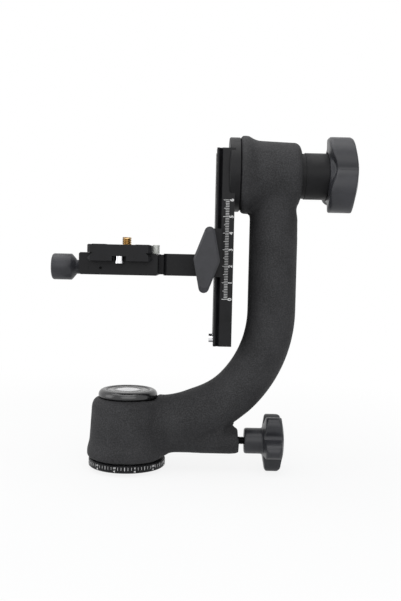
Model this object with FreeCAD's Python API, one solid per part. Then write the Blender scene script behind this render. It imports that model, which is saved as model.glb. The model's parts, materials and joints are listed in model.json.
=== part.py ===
import FreeCAD, Part
import math
import os

# Gimbal tripod head. Millimetres, +Z up. The origin is the centre of the dial's bottom face,
# in the mouth of the tripod socket. +X runs from the pan axis to the upright, and +Y away
# from the side that carries the ruler and the wing knob.

# Fits
running_gap = 0.05          # radial gap of a shaft or screw that turns in its hole
seat_gap = 0.02             # radial gap of a piece pressed or screwed into its seat
sliding_gap = 0.05          # gap between flat faces that slide on each other
face_gap = 0.5              # axial gap between large turning faces
tool_gap = 0.4              # radial gap round a screw head sunk in its pocket
pad_gap = 0.3               # lock pad to the drum it presses on
overcut = 0.1               # how far a cutting or trimming shape stands past a face
corner_share = 0.3          # of a round corner's size, where the facet that stands for it ends

# Pan base
dial_radius = 24.2
dial_height = 4.7
dial_edge = 0.5
socket_radius = 3.97        # tapping size of a 3/8 inch tripod thread
socket_depth = 12.0
spigot_radius = 10.0
spindle_flange_radius = 18.0
spindle_flange_height = 3.0
brake_drum_radius = 11.0
brake_drum_height = 12.5
dial_screw_circle = 14.0
dial_screw_count = 3
dial_screw_radius = 1.25

# Ball bearings, one size at both axes
bearing_bore_radius = 7.5
bearing_radius = 14.0
bearing_width = 7.0
bearing_ring = 1.9
bearing_shield = 0.6
bearing_lip_gap = 0.2       # shield's edge to the inner ring

# Arm casting
boss_height = 38.0
boss_foot_radius = 25.3
boss_foot_height = 5.5
boss_low_radius = 23.9
boss_low_height = 11.0
boss_top_radius = 22.6
boss_shoulder = 4.5
tube_radius = 15.1
bend_radius = 73.0
beam_reach = 16.5           # from the pan axis to the start of the bend
beam_height = 21.8          # from the casting's foot to the centre of the bend's lower end
upright_length = 84.4       # from the end of the bend to the tilt axis
web_turn = 38.0             # degrees of the bend that the web under it spans
lock_boss_radius = 8.6
lock_boss_reach = 70.8      # from the pan axis to the lock boss's end face
lock_height = 11.4          # lock axis above the casting's foot
lock_boss_round = 3.0

# Tilt housing, turned about the tilt axis
rim_radius = 24.2
rim_width = 3.2
housing_front = 20.4        # from the upright's centre to the rim's face
housing_back = 18.2         # from the upright's centre to the back face
housing_radius = 21.3
housing_taper = 0.9
housing_step = 1.0
housing_flare = 9.5
housing_round = 4.5

# Pan cap
cap_radius = 18.6
cap_height = 4.4
cap_round = 1.2
cap_disc_radius = 12.2
cap_disc_height = 1.4
cap_skirt_radius = 16.0
cap_skirt_height = 3.0
cap_wall = 1.6
cap_lip = 1.2
cap_disc_edge = 0.3

# Locknuts of both shafts
locknut_radius = 11.0
locknut_height = 4.0
locknut_slots = 4
locknut_slot_width = 3.0
locknut_slot_depth = 1.5
shaft_end_gap = 0.05        # brake pad to shaft end when the knob is tight

# Pan lock
pan_stud_radius = 2.5
pan_stud_pitch = 0.8
pan_pad_radius = 3.5
pan_pad_length = 6.0
pan_bush_radius = 5.0
pan_bush_length = 14.0
pan_stud_shown = 3.4        # bare stud between the boss and the knob's hub
pan_hub_radius = 8.1
pan_hub_length = 11.6
pan_star_width = 13.4
pan_star_tip = 19.0
pan_star_lobe = 6.2
pan_star_valley = 2.0
pan_star_lobes = 5
pan_star_angle = 58.0       # one lobe, measured from -Y towards +Z
pan_star_bevel = 1.5
knob_wall = 3.0             # solid knob left past the end of a moulded-in stud

# Tilt lock
sleeve_radius = 14.4
sleeve_length = 14.9
sleeve_seat = 4.5
brake_pad_radius = 7.0
brake_pad_length = 4.0
tilt_stud_radius = 4.0
tilt_stud_pitch = 1.25
tilt_knob_width = 19.4
tilt_knob_tip = 24.7
tilt_knob_lobe = 16.0
tilt_knob_valley = 2.6
tilt_knob_lobes = 3
tilt_knob_angle = 69.6
tilt_knob_bevel = 1.8
tilt_knob_crown = 4.2       # rise of the domed face
tilt_knob_recess = 1.4      # how far the sleeve enters the knob
recess_gap = 0.6

# Swing arm flange, shaft and rail
flange_gap = 1.5
flange_radius = 23.0
flange_width = 6.9
flange_edge = 0.6
flange_pocket = 3.3         # depth of the pocket that holds the rail
shaft_shoulder_radius = 9.0
shaft_spigot_radius = 7.0
shaft_screw_radius = 3.0
shaft_screw_head_radius = 5.0
shaft_screw_head = 2.0
shaft_screw_length = 16.0
rail_width = 38.0
rail_thickness = 11.2
rail_length = 120.2
rail_rise = 14.2            # rail's top end above the tilt axis
rail_edge = 0.6
groove_start = 1.2          # from the rail's front face to the V groove
groove_width = 2.4
groove_depth = 1.7
rail_channel_width = 14.0
rail_channel_depth = 1.2
rail_screw_radius = 2.5
rail_screw_head_radius = 4.6
rail_screw_head = 2.6
rail_screw_length = 12.0
rail_screw_upper = 8.5      # above the tilt axis
rail_screw_lower = 17.0     # below it
stop_screw_height = 3.4     # above the rail's lower end
stop_head_radius = 2.9
stop_head_length = 3.7
stop_shank_radius = 1.5
stop_shank_length = 6.0
hex_share = 0.5             # key size of a socket screw, of its head diameter

# Carriage on the rail
carriage_drop = 34.6        # from the tilt axis down to the carriage's top, as photographed
carriage_height = 29.0
carriage_gap = 0.3          # carriage face to rail face
carriage_thickness = 9.4
carriage_edge = 0.8
jaw_reach = 4.4             # jaws along the rail's side, from its front face
jaw_wall = 6.0
jaw_slit = 0.8              # near jaw to carriage block
tooth_gap = 0.1
jaw_pin_radius = 2.0
jaw_pin_length = 10.0
jaw_pin_spacing = 20.0
jaw_pin_seat = 3.0          # depth of each pin in the jaw

# Wing knob that closes the carriage jaw
wing_screw_radius = 3.0
wing_screw_pitch = 1.0
wing_screw_length = 19.0
wing_height = 10.2          # wing axis above the carriage's bottom
wing_hub_radius = 5.6
wing_hub_length = 4.5
wing_thickness = 7.5
wing_reach = 19.5           # centre to tip
wing_half_width = 7.7
wing_tip_round = 3.1
wing_side_round = 5.1
wing_bevel = 1.2
wing_lean = 5.0             # degrees from upright

# Platform arm and its screws
platform_width = 26.0
platform_thickness = 13.4
platform_length = 21.6
platform_round = 2.4
platform_neck = 2.9
platform_neck_width = 22.0
platform_edge = 0.6
cap_screw_radius = 2.0
cap_screw_head_radius = 3.5
cap_screw_head = 4.0
cap_screw_bite = 9.0
cap_screw_gauge = 12.0
clamp_mount_gauge = 16.0
clamp_mount_head_radius = 2.8

# Quick release clamp
clamp_length = 50.0
clamp_fixed_wall = 3.4      # fixed jaw outside the dovetail
clamp_jaw_thickness = 5.7
clamp_height = 13.2
clamp_floor = 6.9
clamp_ledge = 1.5
clamp_ledge_width = 4.0
clamp_end_wall = 3.0        # floor pocket's end walls, which the plate's stops meet
clamp_edge = 0.8
clamp_bottom_edge = 1.2
clamp_screw_radius = 2.5
clamp_screw_pitch = 0.8
clamp_open_turns = 3        # turns of the knob that free the plate
clamp_screw_bite = 20.0
clamp_screw_height = 4.0    # screw axis above the clamp's bottom
clamp_knob_radius = 8.2
clamp_knob_length = 12.9
clamp_knob_dome = 1.8
clamp_knob_face = 4.9       # radius of the knob's flat end
clamp_knob_shoulder = 1.5
clamp_collar_radius = 4.6
clamp_collar_length = 7.3
clamp_knob_flutes = 24
clamp_flute_radius = 0.55
level_radius = 2.0
level_height = 5.2          # above the clamp's fixed jaw
level_gap = 0.2             # to the plate's side
level_place = 20.0          # from the clamp's middle
guide_pin_radius = 1.4
guide_pin_length = 16.0
guide_pin_spacing = 34.0
guide_screw_radius = 1.8
guide_screw_length = 4.0
guide_screw_inset = 7.5     # from the jaw seam

# Quick release plate
plate_width = 38.0
plate_waist = 31.6
plate_length = 64.0
plate_thickness = 9.7
dovetail_lip = 1.6          # height of the dovetail's widest part above the bottom
dovetail_chamfer = 1.4
plate_top_lip = 4.5
plate_lip_slope = 0.3
plate_edge = 0.5
slot_width = 6.6
slot_length = 44.0
slot_shelf = 4.0            # plate left above the wide part of the slot
slot_wide = 13.0
pad_width = 8.0
pad_length = 50.0
pad_thickness = 1.2
pad_proud = 0.3
pad_inset = 2.0
stop_pin_radius = 2.6
stop_pin_height = 4.2
stop_pin_drop = 1.4         # below the plate's bottom
stop_pin_inset = 2.8        # from the plate's end
stop_pin_shank = 1.25
stop_pin_bite = 3.5
notch_width = 8.4

# Camera screw
camera_screw_radius = 3.175
camera_screw_rise = 5.5     # above the plate's top
camera_screw_tip = 0.7
camera_screw_neck = 2.6      # radius below the thread, which keeps the screw in its washer
camera_thread_gap = 0.5      # from the plate's top to the thread
camera_head_radius = 6.0
camera_head_height = 2.6
camera_screw_place = 16.0   # from the plate's middle, as photographed
washer_thickness = 0.8
screw_slot_width = 1.0

# Heights on the pan axis
foot_z = dial_height + face_gap
rim_z = foot_z + boss_height
flange_top_z = dial_height + spindle_flange_height
drum_top_z = flange_top_z + brake_drum_height
upper_bearing_z = drum_top_z + bearing_width
nut_z = upper_bearing_z + bearing_width
lock_z = foot_z + lock_height
cap_top_z = rim_z + cap_height

# Places on the arm
bend_x = beam_reach
bend_z = foot_z + beam_height + bend_radius
upright_x = beam_reach + bend_radius
tilt_z = bend_z + upright_length
rim_x = upright_x - housing_front
back_x = upright_x + housing_back

# Places along the tilt axis
flange_x = rim_x - flange_gap - flange_width
pocket_x = flange_x + flange_pocket
shaft_x = rim_x - flange_gap
front_bearing_x = rim_x + face_gap
sleeve_x = back_x - sleeve_seat
brake_x = sleeve_x
shaft_end_x = brake_x - shaft_end_gap
shaft_nut_x = shaft_end_x - locknut_height - face_gap
rear_bearing_x = shaft_nut_x - bearing_width
tilt_knob_x = back_x + sleeve_length - tilt_knob_recess

# Places of the rail and the carriage
rail_x = pocket_x - rail_thickness
rail_side = rail_width / 2
rail_top_z = tilt_z + rail_rise
rail_bottom_z = rail_top_z - rail_length
block_back_x = rail_x - carriage_gap
block_x = block_back_x - carriage_thickness
carriage_top_z = tilt_z - carriage_drop
carriage_z = carriage_top_z - carriage_height
jaw_inner = rail_side + running_gap
jaw_outer = jaw_inner + jaw_wall
wing_x = block_x + carriage_thickness / 2
wing_z = carriage_z + wing_height
jaw_middle_z = carriage_z + carriage_height / 2
wing_hub_y = -jaw_outer - sliding_gap
wing_y = wing_hub_y - wing_hub_length

# Places of the platform, clamp and plate
platform_x = block_x - platform_length
clamp_right_x = platform_x - platform_neck
plate_x = clamp_right_x - clamp_fixed_wall - plate_width / 2 - sliding_gap
clamp_seam_x = plate_x - plate_width / 2
clamp_side = clamp_length / 2
floor_z = carriage_z + clamp_floor
ledge_z = floor_z + clamp_ledge
clamp_top_z = carriage_z + clamp_height
plate_z = ledge_z
plate_top_z = plate_z + plate_thickness
plate_side = plate_length / 2
clamp_screw_z = carriage_z + clamp_screw_height
jaw_left_x = clamp_seam_x - clamp_jaw_thickness


def vec(x=0.0, y=0.0, z=0.0):
    return FreeCAD.Vector(x, y, z)


X_AXIS = vec(1, 0, 0)
Y_AXIS = vec(0, 1, 0)
Z_AXIS = vec(0, 0, 1)


def rod_x(radius, start, end, y=0.0, z=0.0):
    return Part.makeCylinder(radius, end - start, vec(start, y, z), X_AXIS)


def rod_y(radius, start, end, x=0.0, z=0.0):
    return Part.makeCylinder(radius, end - start, vec(x, start, z), Y_AXIS)


def rod_z(radius, start, end, x=0.0, y=0.0):
    return Part.makeCylinder(radius, end - start, vec(x, y, start), Z_AXIS)


def block(x_span, y_span, z_span):
    sides = [span[1] - span[0] for span in (x_span, y_span, z_span)]
    return Part.makeBox(*sides, vec(x_span[0], y_span[0], z_span[0]))


def join(shapes):
    return shapes[0].multiFuse(shapes[1:]).removeSplitter()


def face_from(points):
    return Part.Face(Part.makePolygon([vec(*point) for point in points + points[:1]]))


def turned_z(profile):
    """Revolve (radius, height) points about the pan axis."""
    face = face_from([(radius, 0, height) for radius, height in profile])
    return face.revolve(vec(), Z_AXIS, 360)


def turned_x(profile, z=0.0):
    """Revolve (place along X, radius) points about a line parallel to X."""
    face = face_from([(x, 0, z + radius) for x, radius in profile])
    return face.revolve(vec(0, 0, z), X_AXIS, 360)


def along_y(profile, start, end):
    """Extrude (x, z) points along Y."""
    return face_from([(x, start, z) for x, z in profile]).extrude(vec(0, end - start, 0))


def along_z(profile, start, end):
    """Extrude (x, y) points along Z."""
    return face_from([(x, y, start) for x, y in profile]).extrude(vec(0, 0, end - start))


def edges_where(shape, test):
    return [edge for edge in shape.Edges if test(edge)]


def is_upright(edge):
    low, high = edge.BoundBox.ZMin, edge.BoundBox.ZMax
    return math.isclose(edge.Length, high - low)


def arc_between(start, middle, end):
    return Part.Arc(vec(*start), vec(*middle), vec(*end)).toShape()


def on_circle(radius, angle):
    """Point (-y, z) at an angle measured from -Y towards +Z."""
    return (radius * math.cos(angle), radius * math.sin(angle))


def joint_point(place, angle, other_place, other_angle, share):
    """Where two touching arcs meet, on the line between their centres."""
    start = on_circle(place, angle)
    end = on_circle(other_place, other_angle)
    return tuple(first + (last - first) * share for first, last in zip(start, end))


def lobed_face(x, z, tip, lobe, valley, count, angle):
    """Face across X at a knob's end: round lobes joined by round valleys."""
    step = math.pi / count
    lobe_place = tip - lobe
    reach = lobe + valley
    valley_place = lobe_place * math.cos(step)
    valley_place += math.sqrt(reach ** 2 - (lobe_place * math.sin(step)) ** 2)
    edges = []
    for index in range(count):
        middle = math.radians(angle) + index * 2 * step
        before = joint_point(lobe_place, middle, valley_place, middle - step, lobe / reach)
        after = joint_point(lobe_place, middle, valley_place, middle + step, lobe / reach)
        onward = joint_point(lobe_place, middle + 2 * step, valley_place, middle + step, lobe / reach)
        crest = on_circle(tip, middle)
        trough = on_circle(valley_place - valley, middle + step)
        edges.append(arc_between(*[(x, -side, z + up) for side, up in (before, crest, after)]))
        edges.append(arc_between(*[(x, -side, z + up) for side, up in (after, trough, onward)]))
    return Part.Face(Part.Wire(edges))


def placed_ring(profile, seat, along):
    """Turn (place, radius) points into a ring whose face sits at seat."""
    if along == "x":
        return turned_x([(seat + place, radius) for place, radius in profile], tilt_z)
    return turned_z([(radius, seat + place) for place, radius in profile])


def bearing_inner(seat, along):
    bore = bearing_bore_radius + seat_gap
    outer = bearing_bore_radius + bearing_ring
    profile = [(0, bore), (bearing_width, bore), (bearing_width, outer), (0, outer)]
    return placed_ring(profile, seat, along)


def bearing_outer(seat, along):
    """Outer ring with the two shields that close the ball space."""
    outer = bearing_radius - seat_gap
    race = bearing_radius - bearing_ring
    lip = bearing_bore_radius + bearing_ring + bearing_lip_gap
    back = bearing_width - bearing_shield
    profile = [(0, outer), (bearing_width, outer), (bearing_width, lip), (back, lip),
               (back, race), (bearing_shield, race), (bearing_shield, lip), (0, lip)]
    return placed_ring(profile, seat, along)


def locknut(seat, along, bore):
    """Ring nut with slots for a pin spanner."""
    profile = [(0, bore + seat_gap), (locknut_height, bore + seat_gap),
               (locknut_height, locknut_radius), (0, locknut_radius)]
    nut = placed_ring(profile, seat, along)
    centre = vec(seat, 0, tilt_z) if along == "x" else vec(0, 0, seat)
    axis = X_AXIS if along == "x" else Z_AXIS
    half = locknut_slot_width / 2
    floor = locknut_radius - locknut_slot_depth
    for index in range(locknut_slots):
        if along == "x":
            slot = block((seat, seat + locknut_height), (-half, half),
                         (tilt_z + floor, tilt_z + locknut_radius + half))
        else:
            slot = block((floor, locknut_radius + half), (-half, half), (seat, seat + locknut_height))
        slot.rotate(centre, axis, 360 * index / locknut_slots)
        nut = nut.cut(slot)
    return nut


# Pan base

def pan_dial():
    dial = rod_z(dial_radius, 0, dial_height)
    dial = dial.makeChamfer(dial_edge, edges_where(dial, lambda edge: edge.Length > dial_radius))
    dial = dial.cut(rod_z(spigot_radius + seat_gap, 0, dial_height))
    for cutter in dial_screw_bodies(seat_gap):
        dial = dial.cut(cutter)
    return dial


def dial_screw_bodies(gap):
    """Countersunk screws from below, through the dial into the spindle's flange."""
    head = dial_height / 2
    top = flange_top_z - dial_edge
    shank = dial_screw_radius
    screws = []
    for index in range(dial_screw_count):
        x, y = on_circle(dial_screw_circle, 2 * math.pi * index / dial_screw_count)
        cone = Part.makeCone(2 * shank + gap, shank + gap, head, vec(x, y, 0), Z_AXIS)
        screws.append(cone.fuse(rod_z(shank + gap, 0, top, x, y)))
    return screws


def dial_screws():
    screws = []
    for screw in dial_screw_bodies(0.0):
        centre = screw.BoundBox.Center
        key = rod_z(dial_screw_radius, 0, dial_height / 3, centre.x, centre.y)
        screws.append(screw.cut(key))
    return Part.makeCompound(screws)


def pan_spindle():
    neck_top = nut_z + locknut_height
    profile = [(0, 0), (spigot_radius, 0), (spigot_radius, dial_height), (spindle_flange_radius, dial_height),
               (spindle_flange_radius, flange_top_z), (brake_drum_radius, flange_top_z),
               (brake_drum_radius, drum_top_z), (bearing_bore_radius, drum_top_z),
               (bearing_bore_radius, neck_top), (0, neck_top)]
    spindle = turned_z(profile).cut(rod_z(socket_radius, 0, socket_depth))
    for cutter in dial_screw_bodies(seat_gap):
        spindle = spindle.cut(cutter)
    return spindle


# Arm casting

def bent_tube():
    start = vec(0, 0, bend_z - bend_radius)
    bend_start = vec(bend_x, 0, bend_z - bend_radius)
    bend_end = vec(upright_x, 0, bend_z)
    end = vec(upright_x, 0, tilt_z)
    half_turn = bend_radius * math.sqrt(0.5)
    middle = vec(bend_x + half_turn, 0, bend_z - half_turn)
    path = Part.Wire([Part.LineSegment(start, bend_start).toShape(),
                      Part.Arc(bend_start, middle, bend_end).toShape(),
                      Part.LineSegment(bend_end, end).toShape()])
    section = Part.Wire(Part.makeCircle(tube_radius, start, X_AXIS))
    return path.makePipeShell([section], True, False)


def base_boss():
    shoulder_z = rim_z - boss_shoulder
    facet = boss_shoulder * corner_share
    profile = [(0, foot_z), (boss_foot_radius - dial_edge, foot_z), (boss_foot_radius, foot_z + dial_edge),
               (boss_foot_radius, foot_z + boss_foot_height), (boss_low_radius, foot_z + boss_low_height),
               (boss_top_radius, shoulder_z), (boss_top_radius - facet, rim_z - facet),
               (boss_top_radius - boss_shoulder, rim_z), (0, rim_z)]
    return turned_z(profile)


def lock_boss():
    boss = rod_x(lock_boss_radius, 0, lock_boss_reach, 0, lock_z)
    end = edges_where(boss, lambda edge: edge.BoundBox.XMin > lock_boss_reach - overcut)
    return boss.makeFillet(lock_boss_round, end)


def lock_web():
    """Fills the creases between the lock boss and the bend above it."""
    turn = math.radians(web_turn)
    web_x = bend_x + bend_radius * math.sin(turn)
    web_z = bend_z - bend_radius * math.cos(turn)
    profile = [(bend_x, lock_z), (web_x, lock_z), (web_x, web_z), (bend_x, bend_z - bend_radius)]
    return along_y(profile, -lock_boss_radius, lock_boss_radius)


def tilt_housing():
    flare_x = rim_x + housing_flare
    back = housing_radius - housing_taper
    turn = housing_round * (1 - math.sqrt(0.5))
    profile = [(rim_x, 0), (rim_x, rim_radius - dial_edge), (rim_x + dial_edge, rim_radius),
               (rim_x + rim_width, rim_radius), (rim_x + rim_width * 2, housing_radius + housing_step),
               (flare_x, housing_radius), (back_x - housing_round, back),
               (back_x - turn, back - turn), (back_x, back - housing_round), (back_x, 0)]
    return turned_x(profile, tilt_z)


def pan_cavity():
    """Stepped bore round the spindle, bearings and nut, open under the cap."""
    flange = rod_z(spindle_flange_radius + face_gap, foot_z, flange_top_z + face_gap)
    drum = rod_z(brake_drum_radius + face_gap, foot_z, drum_top_z)
    bearings = rod_z(bearing_radius, drum_top_z, nut_z)
    nut = rod_z(bearing_radius, nut_z, rim_z)
    skirt = rod_z(cap_skirt_radius + seat_gap, rim_z - cap_skirt_height, rim_z)
    return [flange, drum, bearings, nut, skirt]


def tilt_cavity():
    """Bearing seats from both ends, with the land between them, and the sleeve's seat."""
    front_end = front_bearing_x + bearing_width
    land = bearing_radius - bearing_ring
    return [rod_x(bearing_radius, rim_x, front_end, 0, tilt_z),
            rod_x(land, front_end, rear_bearing_x, 0, tilt_z),
            rod_x(bearing_radius, rear_bearing_x, back_x, 0, tilt_z)]


def lock_cavity():
    bush_x = lock_boss_reach - pan_bush_length
    return [rod_x(pan_pad_radius + running_gap, 0, bush_x, 0, lock_z),
            rod_x(pan_bush_radius + seat_gap, bush_x, lock_boss_reach, 0, lock_z)]


def arm_casting():
    casting = join([base_boss(), bent_tube(), lock_boss(), lock_web(), tilt_housing()])
    for cutter in pan_cavity() + tilt_cavity() + lock_cavity():
        casting = casting.cut(cutter)
    return casting


def pan_cap():
    """Screw-in cap: a rounded rim, a shallow well for the disc and a hollow skirt."""
    well = cap_disc_radius + seat_gap
    floor = cap_top_z - cap_disc_height
    ceiling = floor - cap_wall
    hollow = cap_skirt_radius - cap_wall
    facet = cap_round * corner_share
    profile = [(0, floor), (well, floor), (well, cap_top_z - cap_disc_edge), (well + cap_lip, cap_top_z),
               (cap_radius - cap_round, cap_top_z), (cap_radius - facet, cap_top_z - facet),
               (cap_radius, cap_top_z - cap_round), (cap_radius, rim_z), (cap_skirt_radius, rim_z),
               (cap_skirt_radius, rim_z - cap_skirt_height), (hollow, rim_z - cap_skirt_height),
               (hollow, ceiling), (0, ceiling)]
    return turned_z(profile)


def pan_cap_disc():
    disc = rod_z(cap_disc_radius, cap_top_z - cap_disc_height, cap_top_z)
    rim = edges_where(disc, lambda edge: edge.BoundBox.ZMin > cap_top_z - overcut)
    return disc.makeChamfer(cap_disc_edge, rim)


# Pan lock

def pan_lock_bush():
    bush_x = lock_boss_reach - pan_bush_length
    bush = rod_x(pan_bush_radius, bush_x, lock_boss_reach, 0, lock_z)
    return bush.cut(rod_x(pan_stud_radius + running_gap, bush_x, lock_boss_reach, 0, lock_z))


def pan_lock_pad():
    start = brake_drum_radius + pad_gap
    return rod_x(pan_pad_radius, start, start + pan_pad_length, 0, lock_z)


def pan_lock_stud():
    start = brake_drum_radius + pad_gap + pan_pad_length + sliding_gap
    end = lock_boss_reach + pan_stud_shown + pan_hub_length + pan_star_width - knob_wall
    return rod_x(pan_stud_radius, start, end, 0, lock_z)


def pan_lock_knob():
    hub_x = lock_boss_reach + pan_stud_shown
    star_x = hub_x + pan_hub_length
    end = star_x + pan_star_width
    star = lobed_face(star_x, lock_z, pan_star_tip, pan_star_lobe, pan_star_valley,
                      pan_star_lobes, pan_star_angle).extrude(vec(pan_star_width, 0, 0))
    slope = 2 * pan_star_bevel
    limits = turned_x([(star_x, 0), (star_x, pan_star_tip - pan_star_bevel),
                       (star_x + pan_star_bevel, pan_star_tip + overcut), (end - slope, pan_star_tip + overcut),
                       (end - pan_star_bevel / 3, pan_star_tip - pan_star_bevel), (end, 0)], lock_z)
    hub = rod_x(pan_hub_radius, hub_x, end - pan_star_bevel, 0, lock_z)
    rim = edges_where(hub, lambda edge: edge.BoundBox.XMax < hub_x + overcut)
    knob = star.common(limits).fuse(hub.makeChamfer(pan_star_bevel / 2, rim)).removeSplitter()
    return knob.cut(rod_x(pan_stud_radius + seat_gap, hub_x, end - knob_wall, 0, lock_z))


# Tilt lock

def tilt_sleeve():
    """Collar in the housing's back: a bore for the brake pad, then the knob's thread."""
    end = back_x + sleeve_length
    bore_end = brake_x + brake_pad_length + tilt_stud_pitch + face_gap
    profile = [(sleeve_x, brake_pad_radius + running_gap), (bore_end, brake_pad_radius + running_gap),
               (bore_end, tilt_stud_radius + running_gap), (end, tilt_stud_radius + running_gap),
               (end, sleeve_radius - dial_edge), (end - dial_edge, sleeve_radius), (back_x, sleeve_radius),
               (back_x, bearing_radius - seat_gap), (sleeve_x, bearing_radius - seat_gap)]
    return turned_x(profile, tilt_z)


def tilt_brake_pad():
    return rod_x(brake_pad_radius, brake_x, brake_x + brake_pad_length, 0, tilt_z)


def tilt_knob_stud():
    start = brake_x + brake_pad_length + sliding_gap
    end = tilt_knob_x + tilt_knob_width - tilt_knob_crown - knob_wall
    return rod_x(tilt_stud_radius, start, end, 0, tilt_z)


def tilt_knob():
    end = tilt_knob_x + tilt_knob_width
    side = end - tilt_knob_crown
    lobes = lobed_face(tilt_knob_x, tilt_z, tilt_knob_tip, tilt_knob_lobe, tilt_knob_valley,
                       tilt_knob_lobes, tilt_knob_angle).extrude(vec(tilt_knob_width, 0, 0))
    limits = turned_x([(tilt_knob_x, 0), (tilt_knob_x, tilt_knob_tip - tilt_knob_bevel),
                       (tilt_knob_x + tilt_knob_bevel, tilt_knob_tip + overcut),
                       (side - tilt_knob_bevel, tilt_knob_tip + overcut),
                       (side, tilt_knob_tip - tilt_knob_bevel / 2),
                       (end - tilt_knob_crown / 4, tilt_knob_tip / 2), (end, 0)], tilt_z)
    knob = lobes.common(limits)
    recess = rod_x(sleeve_radius + recess_gap, tilt_knob_x, back_x + sleeve_length + recess_gap, 0, tilt_z)
    stud_end = side - knob_wall
    return knob.cut(recess).cut(rod_x(tilt_stud_radius + seat_gap, tilt_knob_x, stud_end, 0, tilt_z))


# Swing arm

def rail_outline():
    """Half of the rail's section on the +Y side, front to back, as (x, y)."""
    groove_end = rail_x + groove_start + groove_width
    groove_middle = rail_x + groove_start + groove_width / 2
    return [(rail_x, rail_side - rail_edge), (rail_x + rail_edge, rail_side),
            (rail_x + groove_start, rail_side), (groove_middle, rail_side - groove_depth),
            (groove_end, rail_side), (pocket_x, rail_side)]


def swing_rail():
    half = rail_outline()
    mirror = [(x, -y) for x, y in reversed(half)]
    rail = along_z(half + mirror, rail_bottom_z, rail_top_z)
    half_channel = rail_channel_width / 2
    channel_floor = rail_x + rail_channel_depth
    channel = block((rail_x, channel_floor), (-half_channel, half_channel), (rail_bottom_z, rail_top_z))
    rail = rail.cut(channel)
    for cutter in rail_screw_bodies(seat_gap):
        rail = rail.cut(cutter)
    return rail.cut(stop_shank(seat_gap))


def rail_screw_bodies(gap):
    """Countersunk screws through the rail into the flange."""
    head_x = rail_x + rail_channel_depth
    screws = []
    for z in (tilt_z - rail_screw_lower, tilt_z + rail_screw_upper):
        head = Part.makeCone(rail_screw_head_radius + gap, rail_screw_radius + gap, rail_screw_head,
                             vec(head_x, 0, z), X_AXIS)
        screws.append(head.fuse(rod_x(rail_screw_radius + gap, head_x, head_x + rail_screw_length, 0, z)))
    return screws


def rail_screws():
    keyed = []
    for screw in rail_screw_bodies(0.0):
        box = screw.BoundBox
        key = rod_x(rail_screw_head_radius * hex_share, box.XMin, box.XMin + rail_screw_head, 0, box.Center.z)
        keyed.append(screw.cut(key))
    return Part.makeCompound(keyed)


def stop_shank(gap):
    z = rail_bottom_z + stop_screw_height
    start = rail_x if gap == 0 else rail_x - gap
    return rod_x(stop_shank_radius + gap, start, rail_x + rail_channel_depth + stop_shank_length, 0, z)


def rail_stop_screw():
    z = rail_bottom_z + stop_screw_height
    head_x = rail_x + rail_channel_depth - stop_head_length
    head = rod_x(stop_head_radius, head_x, rail_x + rail_channel_depth, 0, z)
    key = rod_x(stop_head_radius * hex_share, head_x, head_x + stop_head_length / 2, 0, z)
    return head.fuse(stop_shank(0)).cut(key).removeSplitter()


def tilt_flange():
    flange = rod_x(flange_radius, flange_x, flange_x + flange_width, 0, tilt_z)
    rims = edges_where(flange, lambda edge: edge.Length > flange_radius)
    flange = flange.makeChamfer(flange_edge, rims)
    side = rail_side + sliding_gap
    pocket = block((flange_x, pocket_x), (-side, side), (tilt_z - 2 * flange_radius, rail_top_z + sliding_gap))
    flange = flange.cut(pocket)
    flange = flange.cut(rod_x(shaft_spigot_radius + seat_gap, pocket_x + shaft_screw_head, shaft_x, 0, tilt_z))
    flange = flange.cut(rod_x(shaft_screw_radius + tool_gap, flange_x, shaft_x, 0, tilt_z))
    head_radius = shaft_screw_head_radius + tool_gap
    flange = flange.cut(rod_x(head_radius, flange_x, pocket_x + shaft_screw_head, 0, tilt_z))
    for cutter in rail_screw_bodies(seat_gap):
        flange = flange.cut(cutter)
    return flange


def tilt_shaft():
    shoulder_end = front_bearing_x
    profile = [(pocket_x + shaft_screw_head, 0), (pocket_x + shaft_screw_head, shaft_spigot_radius),
               (shaft_x, shaft_spigot_radius), (shaft_x, shaft_shoulder_radius),
               (shoulder_end, shaft_shoulder_radius), (shoulder_end, bearing_bore_radius),
               (shaft_end_x, bearing_bore_radius), (shaft_end_x, 0)]
    shaft = turned_x(profile, tilt_z)
    screw_end = pocket_x + shaft_screw_length
    return shaft.cut(rod_x(shaft_screw_radius + seat_gap, pocket_x, screw_end, 0, tilt_z))


def tilt_shaft_screw():
    head = rod_x(shaft_screw_head_radius, pocket_x, pocket_x + shaft_screw_head, 0, tilt_z)
    key = rod_x(shaft_screw_head_radius * hex_share, pocket_x, pocket_x + shaft_screw_head / 2, 0, tilt_z)
    shank = rod_x(shaft_screw_radius, pocket_x, pocket_x + shaft_screw_length, 0, tilt_z)
    return head.fuse(shank).cut(key).removeSplitter()


# Carriage

def jaw_outline(side_start):
    """One jaw's section on the +Y side, hooked into the rail's groove, as (x, y)."""
    groove_middle = rail_x + groove_start + groove_width / 2
    tooth = jaw_inner - groove_depth
    half_tooth = groove_width / 2 - tooth_gap
    return [(block_x, side_start), (block_back_x, side_start), (block_back_x, jaw_inner),
            (groove_middle - half_tooth, jaw_inner), (groove_middle, tooth + tooth_gap),
            (groove_middle + half_tooth, jaw_inner), (rail_x + jaw_reach, jaw_inner),
            (rail_x + jaw_reach, jaw_outer - carriage_edge), (rail_x + jaw_reach - carriage_edge, jaw_outer),
            (block_x + carriage_edge, jaw_outer), (block_x, jaw_outer - carriage_edge)]


def carriage_block():
    """Saddle in front of the rail with the fixed jaw on its far side."""
    saddle = along_z(jaw_outline(-rail_side), carriage_z, carriage_top_z)
    saddle = saddle.cut(rod_y(wing_screw_radius + running_gap, -rail_side, wing_screw_tip_y(), wing_x, wing_z))
    for cutter in jaw_pin_bodies(running_gap) + platform_screw_bodies(seat_gap):
        saddle = saddle.cut(cutter)
    return saddle


def wing_screw_tip_y():
    return wing_y + wing_screw_length


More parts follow.
